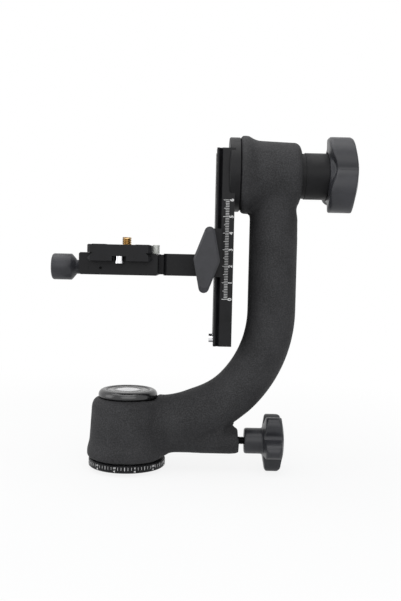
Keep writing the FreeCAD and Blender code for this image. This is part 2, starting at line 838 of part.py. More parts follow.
def jaw_pin_bodies(gap):
    start = -jaw_inner - jaw_pin_seat
    pins = []
    for side in (-1, 1):
        z = jaw_middle_z + side * jaw_pin_spacing / 2
        pins.append(rod_y(jaw_pin_radius + gap, start, start + jaw_pin_length, wing_x, z))
    return pins


def carriage_jaw():
    start = rail_side + jaw_slit
    profile = [(x, -y) for x, y in jaw_outline(start)]
    jaw = along_z(profile, carriage_z, carriage_top_z)
    jaw = jaw.cut(rod_y(wing_screw_radius + running_gap, -jaw_outer, -rail_side, wing_x, wing_z))
    for cutter in jaw_pin_bodies(seat_gap):
        jaw = jaw.cut(cutter)
    return jaw


def wing_outline():
    """Diamond with round tips and sides as four arcs and the lines between, leaning from upright."""
    length = wing_reach - wing_tip_round
    width = wing_half_width - wing_side_round
    span = math.hypot(length, width)
    normal = math.atan2(width, length) + math.asin((wing_side_round - wing_tip_round) / span)
    corners = [(0, length, wing_tip_round, math.pi / 2), (width, 0, wing_side_round, 0.0),
               (0, -length, wing_tip_round, -math.pi / 2), (-width, 0, wing_side_round, math.pi)]
    turns = [(math.pi - normal, normal), (normal, -normal), (-normal, normal - math.pi),
             (math.pi + normal, math.pi - normal)]
    arcs = []
    for (x, z, radius, middle), (start, end) in zip(corners, turns):
        ends = (start, middle, end)
        arcs.append([(x + radius * math.cos(turn), z + radius * math.sin(turn)) for turn in ends])
    return arcs


def wing_face(y, inset):
    edges = []
    arcs = wing_outline()
    grow = 1 - inset / wing_half_width
    placed = [[(wing_x + x * grow, y, wing_z + z * grow) for x, z in arc] for arc in arcs]
    for index, arc in enumerate(placed):
        edges.append(arc_between(*arc))
        following = placed[(index + 1) % len(placed)]
        edges.append(Part.LineSegment(vec(*arc[2]), vec(*following[0])).toShape())
    return Part.Wire(edges)


def wing_knob():
    """Flat diamond lever with bevelled faces, on a short hub."""
    front = wing_y - wing_thickness
    planes = [(front, wing_bevel), (front + wing_bevel, 0), (wing_y - wing_bevel, 0), (wing_y, wing_bevel)]
    lever = Part.makeLoft([wing_face(y, inset) for y, inset in planes], True, True)
    lever.rotate(vec(wing_x, 0, wing_z), Y_AXIS, wing_lean)
    knob = lever.fuse(rod_y(wing_hub_radius, wing_y - wing_bevel, wing_hub_y, wing_x, wing_z)).removeSplitter()
    return knob.cut(rod_y(wing_screw_radius + seat_gap, front + knob_wall, wing_hub_y, wing_x, wing_z))


def wing_screw():
    start = wing_y - wing_thickness + knob_wall
    return rod_y(wing_screw_radius, start, wing_screw_tip_y() - face_gap, wing_x, wing_z)


# Platform arm and clamp

def platform_screw_bodies(gap):
    """Cap screws through the carriage block into the platform arm's end."""
    head_start = block_back_x - cap_screw_head
    screws = []
    for side in (-1, 1):
        y = side * cap_screw_gauge / 2
        z = carriage_z + platform_thickness / 2
        head_gap = tool_gap if gap else 0.0
        head = rod_x(cap_screw_head_radius + head_gap, head_start, block_back_x, y, z)
        shank = rod_x(cap_screw_radius + gap, block_x - cap_screw_bite, head_start, y, z)
        screws.append(head.fuse(shank))
    return screws


def platform_screws():
    screws = []
    for screw in platform_screw_bodies(0.0):
        box = screw.BoundBox
        key = rod_x(cap_screw_head_radius * hex_share, box.XMax - cap_screw_head / 2, box.XMax,
                    box.Center.y, box.Center.z)
        screws.append(screw.cut(key).removeSplitter())
    return Part.makeCompound(screws)


def platform_arm():
    half = platform_width / 2
    arm = block((platform_x, block_x), (-half, half), (carriage_z, carriage_z + platform_thickness))
    ends = edges_where(arm, lambda edge: is_upright(edge) and edge.BoundBox.XMax < platform_x + overcut)
    arm = arm.makeFillet(platform_round, ends)
    neck_half = platform_neck_width / 2
    neck = block((clamp_right_x, platform_x + platform_round), (-neck_half, neck_half),
                 (carriage_z + platform_edge, carriage_z + platform_thickness - platform_edge))
    arm = arm.fuse(neck).removeSplitter()
    for cutter in platform_screw_bodies(seat_gap) + clamp_mount_bodies(seat_gap):
        arm = arm.cut(cutter)
    return arm


def clamp_mount_bodies(gap):
    """Cap screws from the clamp's seam face, under its floor, into the platform arm's neck."""
    head_end = clamp_seam_x + cap_screw_head
    head_gap = tool_gap if gap else 0.0
    z = carriage_z + clamp_floor / 2
    screws = []
    for side in (-1, 1):
        y = side * clamp_mount_gauge / 2
        head = rod_x(clamp_mount_head_radius + head_gap, clamp_seam_x, head_end, y, z)
        screws.append(head.fuse(rod_x(cap_screw_radius + gap, head_end, clamp_right_x + cap_screw_bite, y, z)))
    return screws


def clamp_mount_screws():
    screws = []
    for screw in clamp_mount_bodies(0.0):
        box = screw.BoundBox
        key = rod_x(clamp_mount_head_radius * hex_share, box.XMin, box.XMin + cap_screw_head / 2,
                    box.Center.y, box.Center.z)
        screws.append(screw.cut(key).removeSplitter())
    return Part.makeCompound(screws)


def plate_section():
    """The plate's section on its +X side from the bottom up, as (x, z)."""
    wide = plate_width / 2
    waist = plate_waist / 2
    lip = dovetail_lip
    slope = wide - waist
    top_lip_z = plate_top_z - plate_top_lip
    return [(plate_x + wide - dovetail_chamfer, plate_z), (plate_x + wide, plate_z + lip),
            (plate_x + waist, plate_z + lip + slope), (plate_x + waist, top_lip_z - plate_lip_slope),
            (plate_x + wide, top_lip_z), (plate_x + wide, plate_top_z - plate_edge),
            (plate_x + wide - plate_edge, plate_top_z)]


def jaw_hook(gap):
    """The fixed jaw's inner face, bottom up, a gap away from the plate, as (x, z)."""
    wide = plate_width / 2 + gap
    slope = (plate_width - plate_waist) / 2
    edge_z = plate_z + dovetail_lip
    top_x = wide - (clamp_top_z - edge_z)
    return [(wide - dovetail_chamfer, ledge_z), (wide, edge_z), (max(top_x, wide - slope), clamp_top_z)]


def clamp_body():
    """Floor, fixed jaw and the ledges that the plate's edges rest on."""
    hook = [(plate_x + x, z) for x, z in jaw_hook(sliding_gap)]
    profile = [(clamp_seam_x, carriage_z), (clamp_right_x - clamp_edge, carriage_z),
               (clamp_right_x, carriage_z + clamp_edge), (clamp_right_x, clamp_top_z - clamp_edge),
               (clamp_right_x - clamp_edge, clamp_top_z)] + hook[::-1] + [(clamp_seam_x, ledge_z)]
    body = along_y(profile, -clamp_side, clamp_side)
    half = plate_width / 2 - clamp_ledge_width
    side = clamp_side - clamp_end_wall
    body = body.cut(block((plate_x - half, plate_x + half), (-side, side), (floor_z, ledge_z)))
    screw_end = clamp_seam_x + clamp_screw_bite
    body = body.cut(rod_x(clamp_screw_radius + running_gap, clamp_seam_x, screw_end, 0, clamp_screw_z))
    cutters = guide_pin_bodies(running_gap, face_gap) + guide_screw_bodies(seat_gap)
    for cutter in cutters + clamp_mount_bodies(seat_gap):
        body = body.cut(cutter)
    return body


def guide_pin_bodies(gap, end_gap):
    pins = []
    for side in (-1, 1):
        start = clamp_seam_x - clamp_jaw_thickness / 2
        end = start + guide_pin_length + end_gap
        pins.append(rod_x(guide_pin_radius + gap, start, end, side * guide_pin_spacing / 2, clamp_screw_z))
    return pins


def guide_screw_bodies(gap):
    """Set screws in the clamp's end faces."""
    x = clamp_seam_x + guide_screw_inset
    near = rod_y(guide_screw_radius + gap, -clamp_side, -clamp_side + guide_screw_length, x, clamp_screw_z)
    far = rod_y(guide_screw_radius + gap, clamp_side - guide_screw_length, clamp_side, x, clamp_screw_z)
    return [near, far]


def clamp_guide_screws():
    x = clamp_seam_x + guide_screw_inset
    key_radius = guide_screw_radius * hex_share
    key_floor = clamp_side - guide_screw_length / 2
    near, far = guide_screw_bodies(0.0)
    near = near.cut(rod_y(key_radius, -clamp_side, -key_floor, x, clamp_screw_z))
    far = far.cut(rod_y(key_radius, key_floor, clamp_side, x, clamp_screw_z))
    return Part.makeCompound([near, far])


def clamp_jaw():
    hook = [(plate_x - x, z) for x, z in jaw_hook(sliding_gap)]
    profile = hook[1:] + [(jaw_left_x + clamp_edge, clamp_top_z), (jaw_left_x, clamp_top_z - clamp_edge),
                          (jaw_left_x, carriage_z + clamp_bottom_edge),
                          (jaw_left_x + clamp_bottom_edge, carriage_z),
                          (clamp_seam_x - sliding_gap, carriage_z)]
    jaw = along_y(profile, -clamp_side, clamp_side)
    jaw = jaw.cut(rod_x(clamp_screw_radius + running_gap, jaw_left_x, clamp_seam_x, 0, clamp_screw_z))
    for cutter in guide_pin_bodies(seat_gap, 0):
        jaw = jaw.cut(cutter)
    return jaw


def clamp_screw():
    collar_end = jaw_left_x - sliding_gap
    start = collar_end - clamp_collar_length - clamp_knob_length + knob_wall
    end = clamp_seam_x + clamp_screw_bite - clamp_screw_pitch
    return rod_x(clamp_screw_radius, start, end, 0, clamp_screw_z)


def clamp_knob():
    end = jaw_left_x - sliding_gap
    rim = end - clamp_collar_length
    start = rim - clamp_knob_length
    neck = clamp_collar_radius
    radius = clamp_knob_radius
    profile = [(start, 0), (start, clamp_knob_face), (start + clamp_knob_dome / 3, radius - clamp_knob_shoulder),
               (start + clamp_knob_dome, radius), (rim - dial_edge, radius), (rim, radius - dial_edge),
               (rim + clamp_collar_length / 3, neck), (end, neck), (end, 0)]
    knob = turned_x(profile, clamp_screw_z)
    for index in range(clamp_knob_flutes):
        side, up = on_circle(radius + clamp_flute_radius / 2, 2 * math.pi * index / clamp_knob_flutes)
        z = clamp_screw_z + up
        knob = knob.cut(rod_x(clamp_flute_radius, start + clamp_knob_dome, rim - dial_edge, side, z))
    return knob.cut(rod_x(clamp_screw_radius + seat_gap, start + knob_wall, end, 0, clamp_screw_z))


def level_vial():
    """Small round spirit level that stands on the fixed jaw beside the plate."""
    x = plate_x + plate_width / 2 + level_gap + level_radius
    return rod_z(level_radius, clamp_top_z, clamp_top_z + level_height, x, -level_place)


# Plate and camera screw

def quick_release_plate():
    half = plate_section()
    mirror = [(2 * plate_x - x, z) for x, z in reversed(half)]
    plate = along_y(half + mirror, -plate_side, plate_side)
    shelf_z = plate_top_z - slot_shelf
    for width, low, high in ((slot_width, plate_z, plate_top_z), (slot_wide, plate_z, shelf_z)):
        reach = (slot_length - slot_width) / 2
        radius = width / 2
        plate = plate.cut(block((plate_x - radius, plate_x + radius), (-reach, reach), (low, high)))
        for side in (-reach, reach):
            plate = plate.cut(rod_z(radius, low, high, plate_x, side))
    for side in (-1, 1):
        inner = side * (plate_side - stop_pin_inset * 2)
        span = sorted((inner, side * plate_side))
        notch = notch_width / 2
        top = plate_z - stop_pin_drop + stop_pin_height + sliding_gap
        plate = plate.cut(block((plate_x - notch, plate_x + notch), span, (plate_z, top)))
    for cutter in pad_blocks() + [stop_pin_shank_body(side, seat_gap) for side in (-1, 1)]:
        plate = plate.cut(cutter)
    return plate


def pad_blocks():
    blocks = []
    heights = (plate_top_z - pad_thickness, plate_top_z + pad_proud)
    for side in (-1, 1):
        inner = plate_x + side * (plate_width / 2 - pad_inset)
        span = sorted((inner, inner - side * pad_width))
        blocks.append(block(span, (-pad_length / 2, pad_length / 2), heights))
    return blocks


def plate_pads():
    return Part.makeCompound(pad_blocks())


def stop_pin_shank_body(side, gap):
    top = plate_z - stop_pin_drop + stop_pin_height
    y = side * (plate_side - stop_pin_inset)
    return rod_z(stop_pin_shank + gap, top, top + stop_pin_bite, plate_x, y)


def plate_stop_screws():
    screws = []
    for side in (-1, 1):
        y = side * (plate_side - stop_pin_inset)
        low = plate_z - stop_pin_drop
        head = rod_z(stop_pin_radius, low, low + stop_pin_height, plate_x, y)
        slot = block((plate_x - stop_pin_radius, plate_x + stop_pin_radius),
                     (y - screw_slot_width / 2, y + screw_slot_width / 2), (low, low + stop_pin_height / 3))
        screws.append(head.fuse(stop_pin_shank_body(side, 0.0)).cut(slot).removeSplitter())
    return Part.makeCompound(screws)


def screw_washer():
    shelf_z = plate_top_z - slot_shelf
    low = shelf_z - washer_thickness - sliding_gap
    ring = rod_z(camera_head_radius, low, low + washer_thickness, plate_x, camera_screw_place)
    return ring.cut(rod_z(camera_screw_radius + running_gap, low, shelf_z, plate_x, camera_screw_place))


def camera_screw():
    """Quarter inch screw with a slotted head below the plate's shelf."""
    head_top = plate_top_z - slot_shelf - washer_thickness - 2 * sliding_gap
    low = head_top - camera_head_height
    top = plate_top_z + camera_screw_rise
    head = rod_z(camera_head_radius, low, head_top, plate_x, camera_screw_place)
    thread_start = plate_top_z + camera_thread_gap
    neck = rod_z(camera_screw_neck, head_top, thread_start, plate_x, camera_screw_place)
    thread = rod_z(camera_screw_radius, thread_start, top - camera_screw_tip, plate_x, camera_screw_place)
    tip = Part.makeCone(camera_screw_radius, camera_screw_radius - camera_screw_tip, camera_screw_tip,
                        vec(plate_x, camera_screw_place, top - camera_screw_tip), Z_AXIS)
    half_slot = screw_slot_width / 2
    slot = block((plate_x - camera_head_radius, plate_x + camera_head_radius),
                 (camera_screw_place - half_slot, camera_screw_place + half_slot),
                 (low, low + camera_head_height / 2))
    return join([head, neck, thread, tip]).cut(slot)


SUBPARTS = {
    "pan_dial": pan_dial,
    "dial_screws": dial_screws,
    "pan_spindle": pan_spindle,
    "pan_lower_bearing_inner": lambda: bearing_inner(drum_top_z, "z"),
    "pan_upper_bearing_inner": lambda: bearing_inner(upper_bearing_z, "z"),
    "pan_locknut": lambda: locknut(nut_z, "z", bearing_bore_radius),
    "arm_casting": arm_casting,
    "pan_cap": pan_cap,
    "pan_cap_disc": pan_cap_disc,
    "pan_lower_bearing_outer": lambda: bearing_outer(drum_top_z, "z"),
    "pan_upper_bearing_outer": lambda: bearing_outer(upper_bearing_z, "z"),
    "pan_lock_bush": pan_lock_bush,
    "tilt_front_bearing_outer": lambda: bearing_outer(front_bearing_x, "x"),
    "tilt_rear_bearing_outer": lambda: bearing_outer(rear_bearing_x, "x"),
    "tilt_sleeve": tilt_sleeve,
    "pan_lock_pad": pan_lock_pad,
    "pan_lock_stud": pan_lock_stud,
    "pan_lock_knob": pan_lock_knob,
    "tilt_brake_pad": tilt_brake_pad,
    "tilt_knob_stud": tilt_knob_stud,
    "tilt_knob": tilt_knob,
    "tilt_flange": tilt_flange,
    "tilt_shaft": tilt_shaft,
    "tilt_shaft_screw": tilt_shaft_screw,
    "tilt_front_bearing_inner": lambda: bearing_inner(front_bearing_x, "x"),
    "tilt_rear_bearing_inner": lambda: bearing_inner(rear_bearing_x, "x"),
    "tilt_locknut": lambda: locknut(shaft_nut_x, "x", bearing_bore_radius),
    "swing_rail": swing_rail,
    "rail_screws": rail_screws,
    "rail_stop_screw": rail_stop_screw,
    "carriage_block": carriage_block,
    "platform_arm": platform_arm,
    "platform_screws": platform_screws,
    "clamp_body": clamp_body,
    "clamp_mount_screws": clamp_mount_screws,
    "clamp_guide_screws": clamp_guide_screws,
    "carriage_jaw": carriage_jaw,
    "carriage_jaw_pins": lambda: Part.makeCompound(jaw_pin_bodies(0.0)),
    "wing_screw": wing_screw,
    "wing_knob": wing_knob,
    "clamp_jaw": clamp_jaw,
    "clamp_jaw_pins": lambda: Part.makeCompound(guide_pin_bodies(0.0, 0.0)),
    "clamp_screw": clamp_screw,
    "clamp_knob": clamp_knob,
    "level_vial": level_vial,
    "quick_release_plate": quick_release_plate,
    "plate_pads": plate_pads,
    "plate_stop_screws": plate_stop_screws,
    "screw_washer": screw_washer,
    "camera_screw": camera_screw,
}

os.makedirs("parts", exist_ok=True)
for name, make in SUBPARTS.items():
    shape = make()
    shape.exportStep("parts/" + name + ".step")
    state = "" if shape.isValid() else " not valid"
    print(name, len(shape.Solids), round(shape.Volume, 1), state)
print("travel of pads and jaws", pan_stud_pitch, tilt_stud_pitch, wing_screw_pitch,
      clamp_open_turns * clamp_screw_pitch)
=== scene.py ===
import json
import math

import bmesh
import bpy
from bpy.props import FloatProperty, FloatVectorProperty, IntProperty, PointerProperty
from mathutils import Matrix, Vector


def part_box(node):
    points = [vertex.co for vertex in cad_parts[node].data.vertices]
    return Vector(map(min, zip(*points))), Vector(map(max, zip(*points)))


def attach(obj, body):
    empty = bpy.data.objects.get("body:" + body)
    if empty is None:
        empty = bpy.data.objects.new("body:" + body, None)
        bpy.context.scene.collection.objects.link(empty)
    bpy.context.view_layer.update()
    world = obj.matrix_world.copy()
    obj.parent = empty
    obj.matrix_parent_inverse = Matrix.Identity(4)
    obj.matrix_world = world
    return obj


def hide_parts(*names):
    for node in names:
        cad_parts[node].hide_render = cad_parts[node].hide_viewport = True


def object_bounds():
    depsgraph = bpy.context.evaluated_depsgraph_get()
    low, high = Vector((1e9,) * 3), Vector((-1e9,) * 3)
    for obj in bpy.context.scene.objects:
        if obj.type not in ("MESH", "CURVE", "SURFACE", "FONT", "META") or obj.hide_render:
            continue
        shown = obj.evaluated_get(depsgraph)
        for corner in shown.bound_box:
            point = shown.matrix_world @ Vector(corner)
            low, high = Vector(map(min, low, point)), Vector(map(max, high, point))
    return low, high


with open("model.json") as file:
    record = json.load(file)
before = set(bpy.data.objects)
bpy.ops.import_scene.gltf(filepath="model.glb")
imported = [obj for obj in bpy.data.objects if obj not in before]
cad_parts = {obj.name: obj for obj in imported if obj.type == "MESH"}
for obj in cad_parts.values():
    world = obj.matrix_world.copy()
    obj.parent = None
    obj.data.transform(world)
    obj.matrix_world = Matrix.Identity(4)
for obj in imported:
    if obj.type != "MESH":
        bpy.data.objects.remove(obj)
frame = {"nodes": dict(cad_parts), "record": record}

bl_info = {
    "name": "Gimbal Tripod Head",
    "version": (1, 0, 0),
    "blender": (4, 5, 0),
    "location": "View3D > Sidebar > Gimbal Head",
    "description": "Finishes, marks, moulded knobs and stage of a gimbal tripod head",
    "category": "Object",
}

cad_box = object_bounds()
MM = 0.001

# Places read from the frame
dial_low, dial_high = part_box("pan_dial")
rail_low, rail_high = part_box("swing_rail")
cap_low, cap_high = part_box("pan_cap")
disc_low, disc_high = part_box("pan_cap_disc")
screw_low, screw_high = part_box("camera_screw")
pan_stud_low, pan_stud_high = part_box("pan_lock_stud")
housing_low, housing_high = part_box("tilt_sleeve")
bush_low, bush_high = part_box("pan_lock_bush")
TILT_HEIGHT = (housing_low.z + housing_high.z) / 2
UPRIGHT_X = 89.5 * MM
LOCK_END = bush_high.x
LOCK_HEIGHT = (bush_low.z + bush_high.z) / 2

# Shared sizes of the modelled detail
MERGE = 0.002 * MM
MARK_DEPTH = 0.06 * MM
FIGURE_DEPTH = 0.03 * MM
ROUND_STEPS = 96
QUARTER = math.pi / 2


def length_property(name, text, millimetres):
    """A length that is given in millimetres."""
    return FloatProperty(name=name, description=text, default=millimetres * MM, min=0.0,
                         unit="LENGTH", precision=5)


def colour_property(name, text, colour):
    """A colour without alpha."""
    return FloatVectorProperty(name=name, description=text, default=colour, size=3, min=0.0, max=1.0,
                               subtype="COLOR")


class HeadFinish(bpy.types.PropertyGroup):
    """Colours of the head's finishes."""
    coat: colour_property("Coat", "Textured paint of the arm casting", (0.04, 0.04, 0.042))
    black_metal: colour_property("Black metal", "Anodised rail, clamp, plate and dial",
                                 (0.0085, 0.0085, 0.0095))
    knob: colour_property("Knobs", "Moulded plastic of the knobs", (0.03, 0.0305, 0.035))
    brass: colour_property("Brass", "Camera screw", (0.58, 0.42, 0.22))
    steel: colour_property("Steel", "Turned steel shafts and bearings", (0.55, 0.55, 0.57))
    chrome: colour_property("Bright plating", "Stop screws", (0.83, 0.83, 0.85))
    marks: colour_property("Marks", "Paint in the engraved scales", (0.72, 0.72, 0.72))


class HeadDetail(bpy.types.PropertyGroup):
    """Sizes of the detail that is modelled over the frame."""
    casting_voxel: length_property("Casting voxel", "Size of the faces of the blended casting", 1.15)
    knob_voxel: length_property("Knob voxel", "Size of the faces of the moulded knobs", 0.55)
    dial_turn: FloatProperty(name="Dial turn", description="Angle from the front to a numbered mark",
                             default=math.radians(17.0), subtype="ANGLE")
    dial_step: IntProperty(name="Dial step", description="Degrees between ticks", default=5, min=1, max=30)
    ruler_zero: length_property("Ruler zero", "Height of the zero above the rail's lower end", 28.9)
    ruler_last: IntProperty(name="Ruler length", description="Last number of the ruler", default=6, min=1)
    thread_pitch: length_property("Camera thread", "Pitch of the camera screw", 1.27)
    stud_pitch: length_property("Stud thread", "Pitch of the pan lock stud", 0.8)


class HeadStage(bpy.types.PropertyGroup):
    """Floor, lights and camera."""
    floor: colour_property("Floor", "Colour of the pale floor", (0.86, 0.87, 0.88))
    focal_length: FloatProperty(name="Focal length", description="Lens of the camera in millimetres",
                                default=46.9, min=1.0)
    place: FloatVectorProperty(name="Camera place", description="Where the camera stands", size=3,
                               default=(0.0447, -0.4934, 0.1318), subtype="TRANSLATION", unit="LENGTH")
    pitch: FloatProperty(name="Pitch", description="How far the camera looks down",
                         default=math.radians(3.08), subtype="ANGLE")
    roll: FloatProperty(name="Roll", description="Turn about the line of sight",
                        default=math.radians(1.27), subtype="ANGLE")
    key_power: FloatProperty(name="Overhead light", description="Power of the overhead softbox",
                             default=6.2, min=0.0, unit="POWER")
    front_power: FloatProperty(name="Front light", description="Power of the large light at the front",
                               default=5.6, min=0.0, unit="POWER")
    side_power: FloatProperty(name="Side light", description="Power of the light from the left",
                              default=2.6, min=0.0, unit="POWER")
    fill: FloatProperty(name="Fill", description="Strength of the white surroundings", default=0.32, min=0.0)


# Shader helpers

def node_group(name, inputs, outputs):
    """Empty shader node group with named value inputs and outputs."""
    group = bpy.data.node_groups.new(name, "ShaderNodeTree")
    for socket, default in inputs:
        made = group.interface.new_socket(name=socket, in_out="INPUT", socket_type="NodeSocketFloat")
        made.default_value = default
    for socket in outputs:
        group.interface.new_socket(name=socket, in_out="OUTPUT", socket_type="NodeSocketFloat")
    return group, group.nodes.new("NodeGroupInput"), group.nodes.new("NodeGroupOutput")


def texture(tree, kind, coordinates, **values):
    """Texture node on coordinates, with its inputs set by name."""
    node = tree.nodes.new(kind)
    tree.links.new(coordinates, node.inputs["Vector"])
    for name, value in values.items():
        node.inputs[name.replace("_", " ").capitalize()].default_value = value
    return node


def maths(tree, operation, first, second, clamp=False):
    """Math node on two sockets or numbers; returns its output."""
    node = tree.nodes.new("ShaderNodeMath")
    node.operation = operation
    node.use_clamp = clamp
    for socket, value in zip(node.inputs, (first, second)):
        if isinstance(value, (int, float)):
            socket.default_value = value
        else:
            tree.links.new(value, socket)
    return node.outputs[0]


def spread(tree, value, low, high, to_low=0.0, to_high=1.0):
    """Map Range node; returns its output."""
    node = tree.nodes.new("ShaderNodeMapRange")
    node.interpolation_type = "SMOOTHSTEP"
    tree.links.new(value, node.inputs["Value"])
    for name, number in (("From Min", low), ("From Max", high), ("To Min", to_low), ("To Max", to_high)):
        node.inputs[name].default_value = number
    return node.outputs["Result"]


def object_coordinates(tree):
    """Coordinates that ride with the object."""
    return tree.nodes.new("ShaderNodeTexCoord").outputs["Object"]


def crackle_group():
    """Textured paint: rounded grains of uneven size, and a soft change of shade."""
    group, given, result = node_group("Crackle Paint", [("Scale", 900.0)], ["Height", "Shade", "Pits"])
    place = object_coordinates(group)
    grains = texture(group, "ShaderNodeTexVoronoi", place)
    grains.feature = "SMOOTH_F1"
    group.links.new(given.outputs["Scale"], grains.inputs["Scale"])
    rough = texture(group, "ShaderNodeTexNoise", place, detail=3.0, roughness=0.6)
    group.links.new(maths(group, "MULTIPLY", given.outputs["Scale"], 1.35), rough.inputs["Scale"])
    patches = texture(group, "ShaderNodeTexNoise", place, scale=60.0, detail=3.0)
    bumps = maths(group, "SUBTRACT", 1.0, grains.outputs["Distance"])
    height = maths(group, "ADD", maths(group, "MULTIPLY", bumps, 0.55),
                   maths(group, "MULTIPLY", rough.outputs["Fac"], 0.75))
    speckle = spread(group, rough.outputs["Fac"], 0.38, 0.68)
    shade = maths(group, "ADD", maths(group, "MULTIPLY", speckle, 0.7),
                  maths(group, "MULTIPLY", spread(group, patches.outputs["Fac"], 0.3, 0.7), 0.3))
    group.links.new(height, result.inputs["Height"])
    group.links.new(shade, result.inputs["Shade"])
    group.links.new(spread(group, grains.outputs["Distance"], 0.45, 0.75), result.inputs["Pits"])
    return group


def grain_group():
    """Fine even grain of blasted metal or moulded plastic, with handling marks that change its gloss."""
    group, given, result = node_group("Fine Grain", [("Scale", 2500.0)], ["Height", "Handling"])
    place = object_coordinates(group)
    fine = texture(group, "ShaderNodeTexNoise", place, detail=2.0, roughness=0.5)
    group.links.new(given.outputs["Scale"], fine.inputs["Scale"])
    marks = texture(group, "ShaderNodeTexNoise", place, scale=85.0, detail=5.0, roughness=0.65,
                    distortion=0.4)
    group.links.new(fine.outputs["Fac"], result.inputs["Height"])
    group.links.new(spread(group, marks.outputs["Fac"], 0.35, 0.72), result.inputs["Handling"])
    return group


def dust_group():
    """Sparse pale specks in loose patches."""
    group, given, result = node_group("Dust", [("Amount", 0.3)], ["Specks"])
    place = object_coordinates(group)
    specks = texture(group, "ShaderNodeTexVoronoi", place, scale=420.0)
    patches = texture(group, "ShaderNodeTexNoise", place, scale=45.0, detail=2.0)
    points = spread(group, specks.outputs["Distance"], 0.0, 0.13, 1.0, 0.0)
    where = spread(group, patches.outputs["Fac"], 0.5, 0.75)
    amount = maths(group, "MULTIPLY", maths(group, "MULTIPLY", points, where), given.outputs["Amount"])
    group.links.new(amount, result.inputs["Specks"])
    return group


def wear_group():
    """Rubbed outer edges, broken up by noise."""
    group, given, result = node_group("Edge Wear", [("Start", 0.53), ("End", 0.62)], ["Worn"])
    edge = group.nodes.new("ShaderNodeNewGeometry").outputs["Pointiness"]
    reach = group.nodes.new("ShaderNodeMapRange")
    group.links.new(edge, reach.inputs["Value"])
    group.links.new(given.outputs["Start"], reach.inputs["From Min"])
    group.links.new(given.outputs["End"], reach.inputs["From Max"])
    broken = texture(group, "ShaderNodeTexNoise", object_coordinates(group), scale=240.0, detail=4.0)
    worn = maths(group, "MULTIPLY", reach.outputs["Result"], spread(group, broken.outputs["Fac"], 0.35, 0.6))
    group.links.new(worn, result.inputs["Worn"])
    return group


def rings_group():
    """Fine tool rings left by turning, as a height."""
    group, given, result = node_group("Tool Marks", [("Scale", 900.0)], ["Height"])
    marks = texture(group, "ShaderNodeTexNoise", object_coordinates(group), detail=1.0)
    group.links.new(given.outputs["Scale"], marks.inputs["Scale"])
    group.links.new(marks.outputs["Fac"], result.inputs["Height"])
    return group


def shared(name, make):
    """The shader group of that name, built on first use."""
    return bpy.data.node_groups.get(name) or make()


def place_group(tree, name, make, **values):
    """Adds a shared shader group to a material and sets its inputs by name."""
    node = tree.nodes.new("ShaderNodeGroup")
    node.node_tree = shared(name, make)
    for socket, value in values.items():
        node.inputs[socket.capitalize()].default_value = value
    return node


def start_material(name, roughness, metallic=0.0):
    """New material; returns it with its node tree and its main shader."""
    material = bpy.data.materials.new(name)
    material.use_nodes = True
    shader = material.node_tree.nodes["Principled BSDF"]
    shader.inputs["Roughness"].default_value = roughness
    shader.inputs["Metallic"].default_value = metallic
    return material, material.node_tree, shader


def shaded(colour, share):
    """A colour made darker or lighter, with full alpha."""
    return [channel * share for channel in colour] + [1.0]


def two_tone(tree, shader, mask, dark, light):
    """Base colour that runs from dark to light along a mask."""
    mix = tree.nodes.new("ShaderNodeMix")
    mix.data_type = "RGBA"
    tree.links.new(mask, mix.inputs["Factor"])
    mix.inputs["A"].default_value = dark
    mix.inputs["B"].default_value = light
    tree.links.new(mix.outputs["Result"], shader.inputs["Base Color"])
    return mix


def over(tree, shader, mix, mask, colour):
    """A second colour laid over a two-tone mix where a mask is high."""
    top = tree.nodes.new("ShaderNodeMix")
    top.data_type = "RGBA"
    tree.links.new(mask, top.inputs["Factor"])
    tree.links.new(mix.outputs["Result"], top.inputs["A"])
    top.inputs["B"].default_value = colour
    tree.links.new(top.outputs["Result"], shader.inputs["Base Color"])
    return top


def bumped(tree, shader, height, strength, distance):
    """Bump from a height, added to a shader's normal."""
    bump = tree.nodes.new("ShaderNodeBump")
    bump.inputs["Strength"].default_value = strength
    bump.inputs["Distance"].default_value = distance
    tree.links.new(height, bump.inputs["Height"])
    tree.links.new(bump.outputs["Normal"], shader.inputs["Normal"])


# Finishes

def crackle_paint(colour):
    """Coarse textured paint, paler where edges are rubbed."""
    material, tree, shader = start_material("Crackle paint", 0.72)
    paint = place_group(tree, "Crackle Paint", crackle_group, scale=1050.0)
    wear = place_group(tree, "Edge Wear", wear_group, start=0.56, end=0.66)
    mix = two_tone(tree, shader, paint.outputs["Shade"], shaded(colour, 0.55), shaded(colour, 1.25))
    over(tree, shader, mix, maths(tree, "MULTIPLY", wear.outputs["Worn"], 0.3), shaded(colour, 2.2))
    rough = maths(tree, "ADD", maths(tree, "MULTIPLY", paint.outputs["Pits"], 0.15), 0.66)
    tree.links.new(rough, shader.inputs["Roughness"])
    shader.inputs["Specular IOR Level"].default_value = 0.15
    bumped(tree, shader, paint.outputs["Height"], 0.75, 0.22 * MM)
    return material


def black_metal(name, colour, roughness):
    """Blasted and black anodised aluminium."""
    material, tree, shader = start_material(name, roughness)
    grain = place_group(tree, "Fine Grain", grain_group, scale=2600.0)
    dust = place_group(tree, "Dust", dust_group, amount=0.18)
    mix = two_tone(tree, shader, grain.outputs["Handling"], shaded(colour, 0.75), shaded(colour, 1.35))
    over(tree, shader, mix, dust.outputs["Specks"], shaded((0.3, 0.3, 0.3), 1.0))
    shader.inputs["Specular IOR Level"].default_value = 0.16
    rough = spread(tree, grain.outputs["Handling"], 0.0, 1.0, roughness - 0.06, roughness + 0.1)
    tree.links.new(rough, shader.inputs["Roughness"])
    bumped(tree, shader, grain.outputs["Height"], 0.25, 0.03 * MM)
    return material


